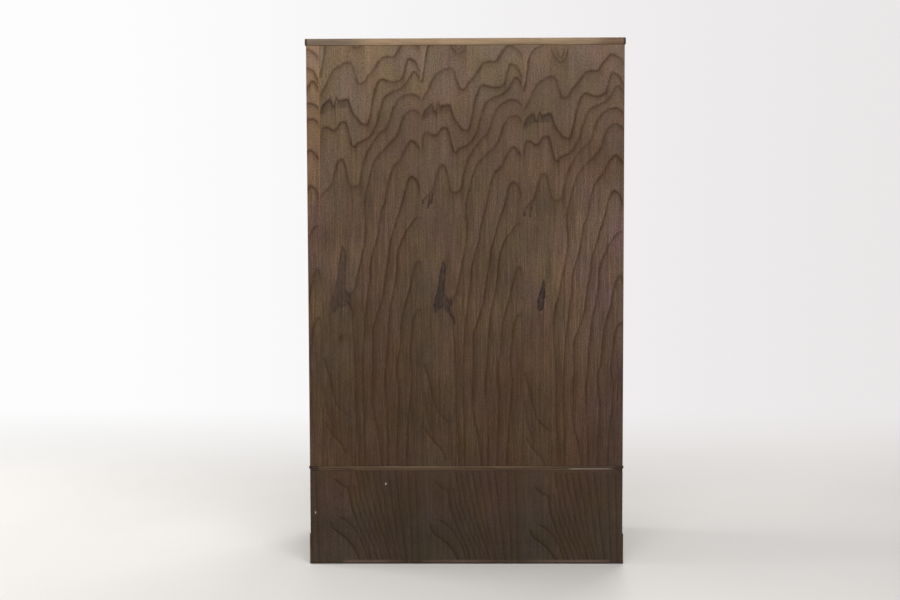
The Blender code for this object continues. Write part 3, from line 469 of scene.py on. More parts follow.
class Graph:
    """A node tree, with short calls that add nodes to it and wire them."""

    def __init__(self, tree, owner=None):
        self.tree = tree
        self.owner = owner

    def feed(self, socket, value):
        if isinstance(value, Num):
            value = value.socket
        if isinstance(value, bpy.types.NodeSocket):
            self.tree.links.new(value, socket)
        elif isinstance(value, tuple) and socket.type == "RGBA":
            socket.default_value = (*value, 1.0)
        else:
            socket.default_value = value

    def add(self, kind, inputs=(), **settings):
        """A node with its settings and inputs. The kind is one of a shader's, or the full name of another."""
        node = self.tree.nodes.new(kind if "Node" in kind else "ShaderNode" + kind)
        for name, value in settings.items():
            setattr(node, name, value)
        for key, value in dict(inputs).items():
            self.feed(node.inputs[key], value)
        return node

    def math(self, operation, *values):
        return Num(self, self.add("Math", enumerate(values), operation=operation).outputs[0])

    highest = partialmethod(math, "MAXIMUM")
    lowest = partialmethod(math, "MINIMUM")
    size = partialmethod(math, "ABSOLUTE")
    fraction = partialmethod(math, "FRACT")
    above = partialmethod(math, "GREATER_THAN")
    below = partialmethod(math, "LESS_THAN")

    def step(self, value, low, high):
        """0 at low, 1 at high and a smooth change between them, which falls where low is the larger one."""
        inputs = {"Value": value, "From Min": low, "From Max": high}
        return Num(self, self.add("MapRange", inputs, interpolation_type="SMOOTHSTEP").outputs["Result"])

    def between(self, value, start, end, outside, inside):
        """1 from start to end and else 0, with soft ends that reach so far out and in."""
        begun = self.step(value, start - outside, start + inside)
        return begun * self.step(value, end + outside, end - inside)

    def split(self, vector):
        return [Num(self, socket) for socket in self.add("SeparateXYZ", {0: vector}).outputs]

    def vector(self, x, y, z):
        return self.add("CombineXYZ", {0: x, 1: y, 2: z}).outputs[0]

    def stretch(self, vector, scale, shift=(0.0, 0.0, 0.0)):
        return self.add("Mapping", {"Vector": vector, "Location": shift, "Scale": scale}).outputs[0]

    def noise(self, vector, scale=1.0, detail=2.0, roughness=0.5):
        inputs = {"Vector": vector, "Scale": scale, "Detail": detail, "Roughness": roughness}
        return Num(self, self.add("TexNoise", inputs).outputs["Fac"])

    def streaks(self, across, down, thin, long, layer, detail, roughness):
        """Noise in streaks down a leaf, from places in mm."""
        return self.noise(self.vector(across * thin, layer, down * long), 1.0, detail, roughness)

    def vary(self, noise, amount):
        """A factor round 1 from a noise."""
        return (noise - 0.5) * amount + 1.0

    def mix(self, share, a, b, blend="MIX"):
        inputs = {0: share, 6: a, 7: b}
        return self.add("Mix", inputs, data_type="RGBA", blend_type=blend).outputs[2]

    def shade(self, colour, factor):
        """The colour times a number."""
        return self.add("VectorMath", {0: colour, "Scale": factor}, operation="SCALE").outputs[0]

    def curve(self, value, points):
        """A smooth curve through points, flat beyond its ends."""
        low, high = points[0][0], points[-1][0]
        levels = [level for _, level in points]
        bottom, top = min(levels), max(levels)
        rise = (top - bottom) or 1.0
        node = self.add("FloatCurve", {"Value": (value - low) / (high - low)})
        mapping = node.mapping
        mapping.extend = "HORIZONTAL"
        track = mapping.curves[0]
        placed = [((place - low) / (high - low), (level - bottom) / rise) for place, level in points]
        for place in placed[1:-1]:
            track.points.new(*place)
        track.points[0].location = placed[0]
        track.points[len(placed) - 1].location = placed[-1]
        mapping.update()
        return Num(self, node.outputs[0]) * rise + bottom

    def level(self, share, low, high):
        """A number that goes from low to high as its share goes from 0 to 1."""
        return share * (high - low) + low

    def patches(self, place, noise, edge, levels, stretch=EVEN, shift=(0.0, 0.0, 0.0)):
        """A noise in patches of two levels."""
        noise = self.noise(self.stretch(place, stretch, shift), *noise)
        return self.level(self.step(noise, *edge), *levels)

    def on_show(self):
        """1 for a ray from the camera, off a glossy surface or through glass, and else 0."""
        path = self.add("LightPath").outputs
        mirrored = self.highest(path["Is Glossy Ray"], path["Is Transmission Ray"])
        return self.highest(path["Is Camera Ray"], mirrored)


def empty_graph(owner):
    owner.use_nodes = True
    owner.node_tree.nodes.clear()
    return Graph(owner.node_tree, owner)


def new_material(name):
    """The empty graph of a new material, and the place on the object."""
    g = empty_graph(bpy.data.materials.new(name))
    return g, g.add("TexCoord").outputs["Object"]


def finish_material(g, colour, roughness, bump=None, bump_height=0.0, specular=0.0, metallic=0.0, coat=0.0):
    """The graph's material, with shader and output. Constants are set on the shader's own sockets."""
    inputs = {"Base Color": colour, "Roughness": roughness, "Metallic": metallic,
              "Specular IOR Level": specular, "Coat Weight": coat, "Coat Roughness": COAT_ROUGHNESS}
    if bump is not None:
        lift = g.add("Bump", {"Height": bump, "Distance": bump_height, "Strength": 1.0})
        inputs["Normal"] = lift.outputs[0]
    g.add("OutputMaterial", {"Surface": g.add("BsdfPrincipled", inputs).outputs[0]})
    return g.owner


class Figure:
    """A node group with the grain of one leaf. It gives how dark the lines are at a place, how far below or
    right of the last line it is, and how pale the rims of the lines are, from places in mm."""

    FAR = 1000.0
    STEP = 1.5

    def __init__(self, name, waves, falls):
        self.tree = bpy.data.node_groups.new(name, "ShaderNodeTree")
        self.graph = Graph(self.tree)
        for label in ("Across", "Down", "Leaf"):
            self.tree.interface.new_socket(label, in_out="INPUT", socket_type="NodeSocketFloat")
        for label in ("Dark", "Since", "Pale"):
            self.tree.interface.new_socket(label, in_out="OUTPUT", socket_type="NodeSocketFloat")
        given = self.graph.add("NodeGroupInput")
        across, down, self.leaf = (Num(self.graph, socket) for socket in given.outputs[:3])
        self.dark, self.since, self.pale = 0.0, self.FAR, 0.0
        for line in waves:
            self.add_line(WAVE_PROFILE, down, across, *line)
        for line in falls:
            away, within = self.add_line(FALL_PROFILE, across, down, *line)
            self.pale = self.graph.highest(self.pale, self.graph.curve(away, PALE_PROFILE) * within)
        self.graph.add("NodeGroupOutput", enumerate((self.dark, self.since, self.pale)))

    def add_line(self, profile, value, along, points, strength, leaves=()):
        """Adds a line, and gives the distance past it and how strong it is at that place along it."""
        g = self.graph
        line = g.curve(along, points)
        slope = g.size((g.curve(along + self.STEP, points) - line) / self.STEP)
        slope = g.lowest(slope, STEEPEST)
        away = (value - line) / g.math("SQRT", slope * slope + 1.0)
        within = g.between(along, points[0][0], points[-1][0], *LINE_ENDS)
        if leaves:
            within = within * sum(g.math("COMPARE", self.leaf, float(number), 0.5) for number in leaves)
        self.dark = g.highest(self.dark, g.curve(away, profile) * within * strength)
        outside = g.highest(g.below(away, 0.0), g.below(within, 0.5))
        self.since = g.lowest(self.since, away + outside * self.FAR)
        return away, within * strength

    def use(self, g, across, down, leaf):
        node = g.add("Group", enumerate((across, down, leaf)), node_tree=self.tree)
        return [Num(g, socket) for socket in node.outputs]


def leaf_place(g, run, down, drops):
    """Place across a leaf and depth below its top, in mm, and its number, in a row of slipped leaves."""
    turns = (run - FIRST_SEAM) / LEAF_WIDTH
    leaf = g.math("FLOOR", turns)
    drop = drops[0]
    for seam, (before, after) in enumerate(zip(drops, drops[1:])):
        drop = drop + (after - before) * g.above(turns, float(seam))
    return (turns - leaf) * (LEAF_WIDTH / MM), (down - drop) / MM, leaf


class Veneer:
    """Grain of a veneer leaf at a place: main lines, finer rings between them, fibres, pores and clouds."""

    def __init__(self, g, figure, across, down, leaf, place, sway, wobble, fade=1.0):
        self.place = place
        bend = g.noise(place, *BEND) - 0.5
        jitter = g.noise(g.stretch(place, JITTER_STRETCH), *JITTER) - 0.5
        heave = g.noise(g.stretch(place, EVEN, HEAVE_SHIFT), *HEAVE) - 0.5
        self.across = across + bend * sway + jitter * wobble
        self.down = down + heave * sway * HEAVE_SHARE + jitter * wobble
        main, since, self.pale = figure.use(g, self.across, self.down, leaf)
        ring = since / FINE_RING + g.noise(place, *RING_SHIFT) * RING_SWING
        self.rings = g.step(g.fraction(ring), *RING_EDGE) * g.step(since, *RING_REACH)
        self.fibre = g.streaks(across, down, *FIBRE_STREAKS)
        self.hatch = g.streaks(across, down, *HATCH_STREAKS)
        self.pores = g.step(g.streaks(across, down, *PORE_STREAKS), *PORE_EDGE)
        self.mottle = g.noise(place, *MOTTLE)
        self.cloud = g.noise(place, *VENEER_CLOUDS)
        self.lines = main * g.vary(self.hatch, LINE_VARIES) * g.patches(place, *FADED) * fade

    def colour(self, g, tone, line_colour, ring_share, streaks=STREAK_VARIES, speckle=SPECKLE_VARIES):
        for patches, *tints in ((HUE, OLIVE, RUSSET), (COOL, YELLOWED, GREYED)):
            tone = g.mix(1.0, tone, g.mix(g.patches(self.place, *patches), *tints), "MULTIPLY")
        wear = g.vary(self.fibre, streaks) * g.vary(self.mottle, speckle) * g.vary(self.cloud, CLOUD_VARIES)
        tone = g.shade(tone, wear * (self.pale * RIM_PALER + 1.0))
        rings = self.rings * g.vary(self.hatch, RING_VARIES) * ring_share
        dark = g.highest(self.lines * LINE_DEPTH, rings)
        return g.mix(g.highest(dark, self.pores * PORE_DEPTH), tone, line_colour)

    def relief(self):
        return (self.fibre - self.pores) * VENEER_RELIEF


def inside_outline(g, veneer, points):
    """How far inside an outline a place is, in mm, and whether its depth is within the outline's."""
    left = g.curve(veneer.down, [(depth, low) for depth, low, _ in points])
    right = g.curve(veneer.down, [(depth, high) for depth, _, high in points])
    within = g.between(veneer.down, points[0][0], points[-1][0], *FLAME_ENDS)
    return g.lowest(veneer.across - left, right - veneer.across), within


def flame_darkness(g, veneer, leaf, place):
    """How dark the flames and smudges of a leaf make a place."""
    ragged = (g.noise(place, *FLAME_RAGGED) - 0.5) * FLAME_RAGGED_MM
    dark = 0.0
    for number, points, strength in FLAMES:
        inside, within = inside_outline(g, veneer, points)
        inside = inside + ragged
        own = g.math("COMPARE", leaf, float(number), 0.5)
        rim = g.level(g.step(inside, *FLAME_RIM), *FLAME_RIM_LEVEL)
        dark = g.highest(dark, g.step(inside, *FLAME_EDGE) * rim * within * own * strength)
    for points, strength in SMUDGES:
        inside, within = inside_outline(g, veneer, points)
        dark = g.highest(dark, g.step(inside + ragged, *SMUDGE_EDGE) * within * strength)
    return dark * g.vary(veneer.hatch, 1.0) * g.patches(place, *FLAME_PATCHES)


def elliptic(x, z, middle_x, middle_z, half_x, half_z):
    """Squared distance from the middle of an ellipse, 1 on its rim."""
    aside = (x - middle_x) / half_x
    above = (z - middle_z) / half_z
    return aside * aside + above * above


def patch_tone(g, x, z, patches):
    """A factor for the broad patches of a back panel."""
    tone = 1.0
    for *ellipse, paler in patches:
        tone = tone + g.step(elliptic(x, z, *ellipse), *PATCH_EDGE) * paler
    return tone


def veneer_back(figure):
    """The large back panel: three and a bit slip-matched leaves."""
    low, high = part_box("upper_back_panel")
    g, place = new_material("veneer_back")
    x, _, z = g.split(place)
    run = HALF_WIDTH - x
    depth = high.z - z
    across, down, leaf = leaf_place(g, run, depth, LEAF_DROPS)
    share = depth / (high.z - low.z)
    fade = g.level(g.step(share, *LINES_SHARE), *LINES_LEVEL)
    veneer = Veneer(g, figure, across, down, leaf, place, sway=5.0, wobble=5.0, fade=fade)
    # Painted reflection over the wood's own colour: lighter and greyer at the top, darker down to the foot
    tone = g.mix(g.step(share, *MIDDLE_SHARE), VENEER_TOP, VENEER_MIDDLE)
    tone = g.mix(g.step(share, *FOOT_SHARE), tone, VENEER_FOOT)
    strip_tint = g.mix(g.step(share, *STRIP_SHARE), STRIP_TINT, STRIP_FOOT_TINT)
    tone = g.mix(g.step(run, *STRIP_EDGE), tone, strip_tint, "MULTIPLY")
    tone = g.mix(g.step(x, *PURPLE_X), tone, PURPLE, "MULTIPLY")
    tone = g.mix(g.step(x, *EDGE_X) * g.step(share, *EDGE_SHARE), tone, EDGE_TINT, "MULTIPLY")
    tone = g.shade(tone, patch_tone(g, x, z, PATCHES))
    straight = g.step(share, *STRAIGHT_SHARE)
    grain = [g.level(straight, *ends) for ends in (RING_LEVEL, STREAK_LEVEL, SPECKLE_LEVEL)]
    tone = veneer.colour(g, tone, VENEER_LINE, *grain)
    half_leaf = LEAF_WIDTH / MM / 2
    outer, inner = SEAM_EDGE
    seam = g.step(g.size(across - half_leaf), half_leaf - outer, half_leaf - inner)
    tone = g.mix(seam * g.vary(veneer.cloud, SEAM_VARIES) * SEAM_DEPTH, tone, VENEER_LINE)
    tone = g.mix(flame_darkness(g, veneer, leaf, place) * FLAME_DEPTH, tone, FLAME_COLOUR)
    rough = g.level(veneer.fibre, *BACK_ROUGH)
    tone, rough = bare_inside(g, place, tone, rough, axis=2, number=0)
    return finish_material(g, tone, rough, veneer.relief(), VENEER_BUMP, VENEER_SHINE)


def veneer_base(figure):
    """The base's back panel, with leaves of finer, slanting grain, a worn foot, two chips and a painted
    contact shadow along its bottom edge.
    """
    low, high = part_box("base_back_panel")
    g, place = new_material("veneer_base")
    x, _, z = g.split(place)
    across, down, leaf = leaf_place(g, HALF_WIDTH - x, high.z - z, BASE_LEAF_DROPS)
    veneer = Veneer(g, figure, across, down, leaf, place, sway=6.0, wobble=4.0, fade=1.35)
    tone = g.mix(g.step(z, *BASE_TURN), BASE_TOP, BASE_FOOT)
    tone = g.shade(tone, g.level(g.step(z, *FOOT_TURN), 1.0, FOOT_GAIN))
    tone = g.shade(tone, patch_tone(g, x, z, BASE_PATCHES))
    tone = veneer.colour(g, tone, BASE_LINE, ring_share=0.34, streaks=1.4)
    up = z - low.z
    foot = g.step(up, *FOOT_WORN_TOP) * g.step(up, *FOOT_WORN_LOW)
    foot = foot * g.step(x, *FOOT_WORN_RIGHT) * g.step(x, *FOOT_WORN_LEFT)
    tone = g.mix(foot * g.step(veneer.cloud, *FOOT_PATCHES) * FOOT_DEPTH, tone, FOOT_WORN)
    # Painted contact shadow: a dark band along the panel's bottom edge, where it meets the floor
    tone = g.mix(g.step(up, *FOOT_PAINTED_SHADOW) * FOOT_DEPTH, tone, BASE_LINE)
    for ellipse in CHIPS:
        spot = elliptic(x, z, *ellipse) + (veneer.hatch - 0.5) * CHIP_RAGGED
        tone = g.mix(g.step(spot, *CHIP_EDGE), tone, CHIP_COLOUR)
    rough = g.level(veneer.fibre, *BASE_ROUGH)
    tone, rough = bare_inside(g, place, tone, rough, axis=2, number=0)
    return finish_material(g, tone, rough, veneer.relief(), BASE_BUMP, VENEER_SHINE)


def veneer_door(figure):
    """Door panels: one leaf each, opened like a book."""
    low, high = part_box("right_door_panel")
    g, place = new_material("veneer_door")
    x, _, z = g.split(place)
    across = (g.size(x) - low.x) / MM
    down = (high.z - z) / MM + DOOR_TOP_DEPTH
    veneer = Veneer(g, figure, across, down, 0.0, place, sway=5.0, wobble=5.0, fade=0.70)
    tone = veneer.colour(g, DOOR_TONE, VENEER_LINE, ring_share=0.40)
    rough = g.level(veneer.fibre, *DOOR_ROUGH)
    return finish_material(g, tone, rough, veneer.relief(), VENEER_BUMP, STAIN_SHINE, coat=STAIN_COAT)


class Board:
    """Grain of a sawn board along an axis: rings like contours of stretched noise, fibres, pores, clouds."""

    def __init__(self, g, place, axis, number=0, rings=STAIN_RINGS):
        scale, count = rings
        place = g.stretch(place, EVEN, tuple(step * number for step in BOARD_STEP))
        contours = g.noise(g.stretch(place, self.drawn(axis, RING_LENGTH)), scale, *RING_DETAIL)
        ring = g.fraction(contours * count)
        self.lines = g.math("POWER", ring, RING_SHARPNESS) + g.step(ring, *RING_START) * RING_START_DARK
        streaks = g.stretch(place, self.drawn(axis, STREAK_LENGTH))
        self.fibre = g.noise(streaks, *BOARD_FIBRE)
        self.hair = g.noise(streaks, *BOARD_HAIR)
        self.pores = g.step(g.noise(streaks, *BOARD_PORES), *BOARD_PORE_EDGE)
        self.cloud = g.noise(place, *BOARD_CLOUDS)
        wear = g.vary(self.fibre, FIBRE_VARIES) * g.vary(self.hair, HAIR_VARIES)
        self.wear = wear * g.vary(self.cloud, SHADE_VARIES)

    @staticmethod
    def drawn(axis, length):
        """Scales that draw a noise out along an axis."""
        return tuple(length if way == axis else 1.0 for way in range(3))

    def colour(self, g, light, dark, line_share, pore_share=PORE_SHARE):
        tone = g.shade(light, self.wear)
        lines = self.lines * g.vary(self.hair, RINGS_VARY) * line_share
        return g.mix(g.highest(lines, self.pores * pore_share), tone, dark)

    def relief(self):
        layers = (self.fibre, self.hair, self.lines, self.pores)
        return sum(layer * share for layer, share in zip(layers, BOARD_RELIEF))


def rub_edges(g, tone, place, box, colour, share):
    """Rubs a board towards a colour along the edges of its box, in patches. On a face the distance to the box
    is nil along one axis, so the middle one of the three distances is the way to the nearest edge."""
    a, b, c = (g.lowest(value - low, high - value) for value, low, high in zip(g.split(place), *box))
    away = g.highest(g.lowest(a, b), g.lowest(g.highest(a, b), c))
    away = away + (g.noise(place, *RUB_RAGGED) - 0.5) * EDGE_RAGGED
    patches = g.patches(place, *RUB_PATCHES)
    return g.mix(g.step(away, *EDGE_REACH) * patches * share, tone, colour)


def bare_board(g, place, axis, number):
    """Grain of a bare paulownia board, and its colour."""
    board = Board(g, place, axis, number, BARE_RINGS)
    return board, board.colour(g, PAULOWNIA_LIGHT, PAULOWNIA_DARK, BARE_LINES)


def bare_inside(g, place, tone, rough, axis, number):
    """Leaves the faces that look into the case as bare wood. Gives the new colour and roughness."""
    inside = 1.0
    for value, (low, high) in zip(g.split(place), INSIDE):
        inside = g.between(value, low, high, INSIDE_EASE, 0.0) * inside
    _, bare = bare_board(g, place, axis, number)
    return g.mix(inside, tone, bare), rough + (BARE_ROUGHNESS - rough) * inside


def stained_wood(name, axis, number, box, on_case):
    """Dark stained board with satin lacquer, rubbed paler along its edges, and bare inside the case."""
    g, place = new_material(name)
    board = Board(g, place, axis, number)
    tone = board.colour(g, STAIN_LIGHT, STAIN_DARK, STAIN_LINES)
    tone = rub_edges(g, tone, place, box, STAIN_RUBBED, STAIN_RUB)
    rough = g.level(board.fibre, *STAIN_ROUGH)
    if on_case:
        tone, rough = bare_inside(g, place, tone, rough, axis, number)
    return finish_material(g, tone, rough, board.relief(), BOARD_BUMP, STAIN_SHINE, coat=STAIN_COAT)


def worn_top():
    """Top board: stained on top, rubbed to tan along its back edge, darker towards that edge's ends."""
    low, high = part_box("top_board")
    g, place = new_material("worn_top")
    x, y, _ = g.split(place)
    board = Board(g, place, axis=0)
    rear = g.step(high.y - y, *TOP_REAR)
    pale_edge = g.mix(g.step(x, *TOP_LEFT_TURN), WORN_LIGHT, TOP_LEFT_END)
    pale_edge = g.mix(g.step(x, *TOP_RIGHT_TURN), pale_edge, TOP_RIGHT_END)
    light = g.mix(rear, STAIN_LIGHT, pale_edge)
    tone = board.colour(g, light, STAIN_DARK, g.level(rear, STAIN_LINES, WORN_LINES), WORN_LINES)
    tone = g.mix(1.0 - rear, tone, rub_edges(g, tone, place, (low, high), STAIN_RUBBED, STAIN_RUB))
    ends = g.step(high.x - g.size(x), *TOP_DARK_ENDS)
    tone = g.mix(ends * rear * DARK_ENDS, tone, STAIN_DARK)
    rough = g.level(board.fibre, *WORN_ROUGH)
    tone, rough = bare_inside(g, place, tone, rough, axis=0, number=1)
    return finish_material(g, tone, rough, board.relief(), BOARD_BUMP, STAIN_SHINE, coat=STAIN_COAT)


def pale_lip(name, pale_from, pale_to, ramp, pale_above, pale_colour, strength):
    """A board whose thin back edge is paler along part of its length."""
    g, place = new_material(name)
    x, y, z = g.split(place)
    board = Board(g, place, axis=0)
    tone = board.colour(g, STAIN_LIGHT, STAIN_DARK, LIP_LINES)
    rear = g.step(y, *LIP_REAR_Y)
    stretch = g.between(x, pale_from, pale_to, ramp, ramp)
    stretch = stretch * g.step(z, pale_above - LIP_EASE, pale_above + LIP_EASE)
    # Paler along a stretch of the back edge, in patches
    pale_edge = rear * stretch * g.level(g.step(board.cloud, *LIP_PATCHES), *LIP_LEVEL) * strength
    tone = g.mix(pale_edge, tone, g.shade(pale_colour, board.wear))
    tone = g.mix(rear * g.step(g.size(x), *LIP_DARK_ENDS) * DARK_ENDS, tone, STAIN_DARK)
    rough = g.level(board.fibre, *WORN_ROUGH)
    tone, rough = bare_inside(g, place, tone, rough, axis=0, number=2)
    return finish_material(g, tone, rough, board.relief(), LIP_BUMP, STAIN_SHINE, coat=STAIN_COAT)


def bare_wood(name, axis, number, box):
    """Planed paulownia: pale, open straight grain, a little grey with handling along its edges."""
    g, place = new_material(name)
    board, tone = bare_board(g, place, axis, number)
    tone = rub_edges(g, tone, place, box, PAULOWNIA_GREY, BARE_RUB)
    rough = g.level(board.fibre, *BARE_ROUGH)
    return finish_material(g, tone, rough, board.relief(), BOARD_BUMP, STAIN_SHINE)


def black_iron():
    """Forged iron under old black lacquer: hammered, brown where the black has thinned."""
    g, place = new_material("black_iron")
    hammer = g.noise(place, *HAMMER)
    grit = g.noise(place, *GRIT)
    rust = g.noise(place, *RUST)
    tone = g.mix(g.step(rust, *RUST_EDGE) * RUST_SHARE, IRON_DARK, IRON_BROWN)
    tone = g.shade(tone, g.vary(grit, GRIT_VARIES))
    relief = hammer * HAMMER_RELIEF + grit * GRIT_RELIEF
    return finish_material(g, tone, g.level(rust, *IRON_ROUGH), relief, IRON_BUMP, IRON_SHINE, IRON_METAL)


def keyhole_painted_shade():
    """Near-black painted shade for the sheets behind the keyholes, in place of the dark inside a hole."""
    g, place = new_material("keyhole_painted_shade")
    shade_noise = g.noise(place, *KEYHOLE_SHADE_GRAIN)
    tone = g.mix(shade_noise, KEYHOLE_SHADE, KEYHOLE_SHADE_BROWN)
    return finish_material(g, tone, g.level(shade_noise, *KEYHOLE_SHADE_ROUGH), specular=KEYHOLE_SHADE_SHINE)


def smooth_shading():
    """A modifier tree that shades a mesh smooth, and leaves an edge sharp where its faces turn by much."""
    tree = bpy.data.node_groups.new("smooth_shading", "GeometryNodeTree")
    for way in ("INPUT", "OUTPUT"):
        tree.interface.new_socket("Geometry", in_out=way, socket_type="NodeSocketGeometry")
    g = Graph(tree)
    mesh = g.add("NodeGroupInput").outputs[0]
    mesh = g.add("GeometryNodeMergeByDistance", {"Geometry": mesh, "Distance": WELD}).outputs[0]
    mesh = g.add("GeometryNodeSetShadeSmooth", {"Geometry": mesh}).outputs[0]
    angle = g.add("GeometryNodeInputMeshEdgeAngle").outputs["Unsigned Angle"]
    inputs = {0: angle, 1: math.radians(SHARP_TURN_DEG)}
    gentle = g.add("FunctionNodeCompare", inputs, operation="LESS_THAN").outputs[0]
    inputs = {"Geometry": mesh, "Shade Smooth": gentle}
    mesh = g.add("GeometryNodeSetShadeSmooth", inputs, domain="EDGE").outputs[0]
    g.add("NodeGroupOutput", {0: mesh})
    return tree


def dress_nodes(iron):
    """Gives each CAD node its material. A plain board has its own, with the grain along its longest side."""
    figure = Figure("leaf_figure", WAVE_LINES, FALLING_LINES)
    base_figure = Figure("base_leaf_figure", (), BASE_LINES)
    door = veneer_door(figure)
    own = {
        "upper_back_panel": veneer_back(figure),
        "base_back_panel": veneer_base(base_figure),
        "left_door_panel": door,
        "right_door_panel": door,
        "top_board": worn_top(),
        "upper_bottom_board": pale_lip("pale_lip", *UPPER_LIP),
        "base_top_board": pale_lip("base_edge", *BASE_LIP),
    }
    slots = {row["node"]: row["material_slot"] for row in frame["record"]["subparts"]}
    case_nodes = frame["record"]["behaviour"]["bodies"]["case"]
    tree = smooth_shading()
    for number, (name, node) in enumerate(sorted(frame["nodes"].items())):
        low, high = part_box(name)
        size = high - low
        axis = max(range(3), key=lambda way: size[way])
        if name in own:
            material = own[name]
        elif slots[name] == "black_iron":
            material = iron
        elif slots[name] == "bare_paulownia":
            material = bare_wood("wood_of_" + name, axis, number, (low, high))
        else:
            material = stained_wood("wood_of_" + name, axis, number, (low, high), name in case_nodes)
        node.data.materials.clear()
        node.data.materials.append(material)
        node.modifiers.new("smooth_shading", "NODES").node_group = tree


def add_object(name, data):
    item = bpy.data.objects.new(name, data)
    bpy.context.scene.collection.objects.link(item)
    return item


def add_piece(name, points, faces, body, material, flat_faces):
    """A closed piece that moves with a body. All but its first faces are shaded smooth."""
    mesh = bpy.data.meshes.new(name)
    mesh.from_pydata(points, [], faces)
    for polygon in mesh.polygons[flat_faces:]:
        polygon.use_smooth = True
    mesh.materials.append(material)
    piece = add_object(name, mesh)
    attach(piece, body)


def ring_points(x, y, z, reach, count=LOCK_POINTS):
    """Points round a middle, at the distance that reach gives for each direction."""
    turns = [math.tau * index / count for index in range(count)]
    return [(x + reach(t) * math.cos(t), y, z + reach(t) * math.sin(t)) for t in turns]


def band_faces(here, there, count=LOCK_POINTS):
    """Faces between two rings of points, given the number of the first point of each."""
    pairs = [(index, (index + 1) % count) for index in range(count)]
    return [(here + a, here + b, there + b, there + a) for a, b in pairs]


def tack_mesh(places):
    """Domed tack heads on a plate's face: each has a flat seat, and a side that curves to a tip."""
    seats, points, domes = [], [], []
    for x, z in places:
        first = len(points)
        for share, rise in TACK_PROFILE:
            y = PLATE_FACE_Y - TACK_HEIGHT * rise
            points += ring_points(x, y, z, lambda _: TACK_RADIUS * share, TACK_SIDES)
        tip = len(points)
        points.append((x, PLATE_FACE_Y - TACK_HEIGHT, z))
        seats.append(tuple(range(first + TACK_SIDES - 1, first - 1, -1)))
        last = tip - TACK_SIDES
        for start in range(first, last, TACK_SIDES):
            domes += band_faces(start, start + TACK_SIDES, TACK_SIDES)
        for index in range(TACK_SIDES):
            domes.append((last + index, last + (index + 1) % TACK_SIDES, tip))
    return points, seats + domes, len(seats)


def add_tacks(iron):
    """Tacks in the hinge leaves, the door lock plates and the straps of the pulls."""
    places = {"case": [], "left_door": [], "right_door": [], "upper_drawer": [], "base_drawer": []}
    for side, sign in (("left", -1), ("right", 1)):
        door = side + "_door"
        low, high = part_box(side + "_lock_plate")
        middle = (low.z + high.z) / 2
        for turn in LOCK_TACK_TURNS_DEG:
            x = sign * LOCK_TACK_RING * math.cos(math.radians(turn))
            z = middle + LOCK_TACK_RING * math.sin(math.radians(turn))
            places[door].append((x, z))
        for row in ("lower", "upper"):
            low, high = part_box(f"{door}_{row}_hinge_door_leaf")
            middle = (low.z + high.z) / 2
            for body, leaf_tacks in ((door, DOOR_LEAF_TACKS), ("case", CASE_LEAF_TACKS)):
                for x, up in leaf_tacks:
                    places[body].append((sign * x, middle + up))
        for drawer in ("upper_drawer", "base_drawer"):
            low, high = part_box(f"{drawer}_{side}_pull_plate")
            centre = (low + high) / 2
            for aside in PULL_TACKS_X:
                places[drawer].append((centre.x + aside, centre.z))
    for body, spots in places.items():
        points, faces, seats = tack_mesh(spots)
        add_piece("tacks_" + body, points, faces, body, iron, seats)


def lobed_reach(radius, turn):
    """Distance from the middle to the rim of a four-lobed plate in one direction."""
    off = (turn + math.pi / 4) % (math.pi / 2) - math.pi / 4
    return LOBE_OFFSET * math.cos(off) + math.sqrt(radius ** 2 - (LOBE_OFFSET * math.sin(off)) ** 2)


def keyhole_reach(turn):
    """Distance from the middle of a keyhole's round part to its rim in one direction."""
    half, length = KEYHOLE_SLOT
    aside, down = math.cos(turn), -math.sin(turn)
    if down <= 0:
        return KEYHOLE_RADIUS
    slot = min(length / down, half / max(abs(aside), LEAST_COSINE))
    return max(KEYHOLE_RADIUS, slot)


def add_drawer_lock(drawer, iron, dark):
    """A lobed lock plate with a keyhole in the middle of a drawer front, and a sheet of painted shade behind
    the keyhole.
    """
    _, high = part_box(drawer + "_front")
    z = high.z - DRAWER_LOCK_DROP
    rim, eased_rim = (partial(lobed_reach, radius) for radius in (LOBE_RADIUS, LOBE_RADIUS - LOCK_EASE))
    rings = ((PLATE_FACE_Y, keyhole_reach), (PLATE_FACE_Y, eased_rim), (PLATE_FACE_Y + LOCK_EASE, rim),
             (PLATE_BACK_Y, rim), (PLATE_BACK_Y, keyhole_reach))
    points = [point for y, reach in rings for point in ring_points(0.0, y, z, reach)]
    faces = []
    for level in range(len(rings)):
        faces += band_faces(level * LOCK_POINTS, (level + 1) % len(rings) * LOCK_POINTS)
    add_piece(drawer + "_lock_plate", points, faces, drawer, iron, len(faces))
    add_painted_shade_sheet(drawer + "_keyhole_shade_sheet", 0.0, z, drawer, dark)


def add_painted_shade_sheet(name, x, z, body, dark):
    """A thin sheet of painted shade in the gap behind a plate, large enough to close its keyhole, so that the
    keyhole looks dark like a hole.
    """
    front, back = SHADE_SHEET_FACES_Y
    aside, above = SHADE_SHEET_RADII
    middle, swell = (above + aside) / 2, (above - aside) / 2
    ring = ring_points(x, front, z, lambda turn: middle - swell * math.cos(2 * turn))
    points = ring + [(px, back, pz) for px, _, pz in ring]
    faces = [tuple(range(LOCK_POINTS)), tuple(range(2 * LOCK_POINTS - 1, LOCK_POINTS - 1, -1))]
    faces += band_faces(LOCK_POINTS, 0)
    add_piece(name, points, faces, body, dark, len(faces))


def add_lamps():
    for name, place, target, size, power in LAMPS:
        lamp = bpy.data.lights.new(name, "AREA")
        lamp.shape = "RECTANGLE"
        lamp.size, lamp.size_y = size
        lamp.energy = power
        item = add_object(name, lamp)
        item.location = place
        item.rotation_euler = (Vector(target) - Vector(place)).to_track_quat("-Z", "Y").to_euler()


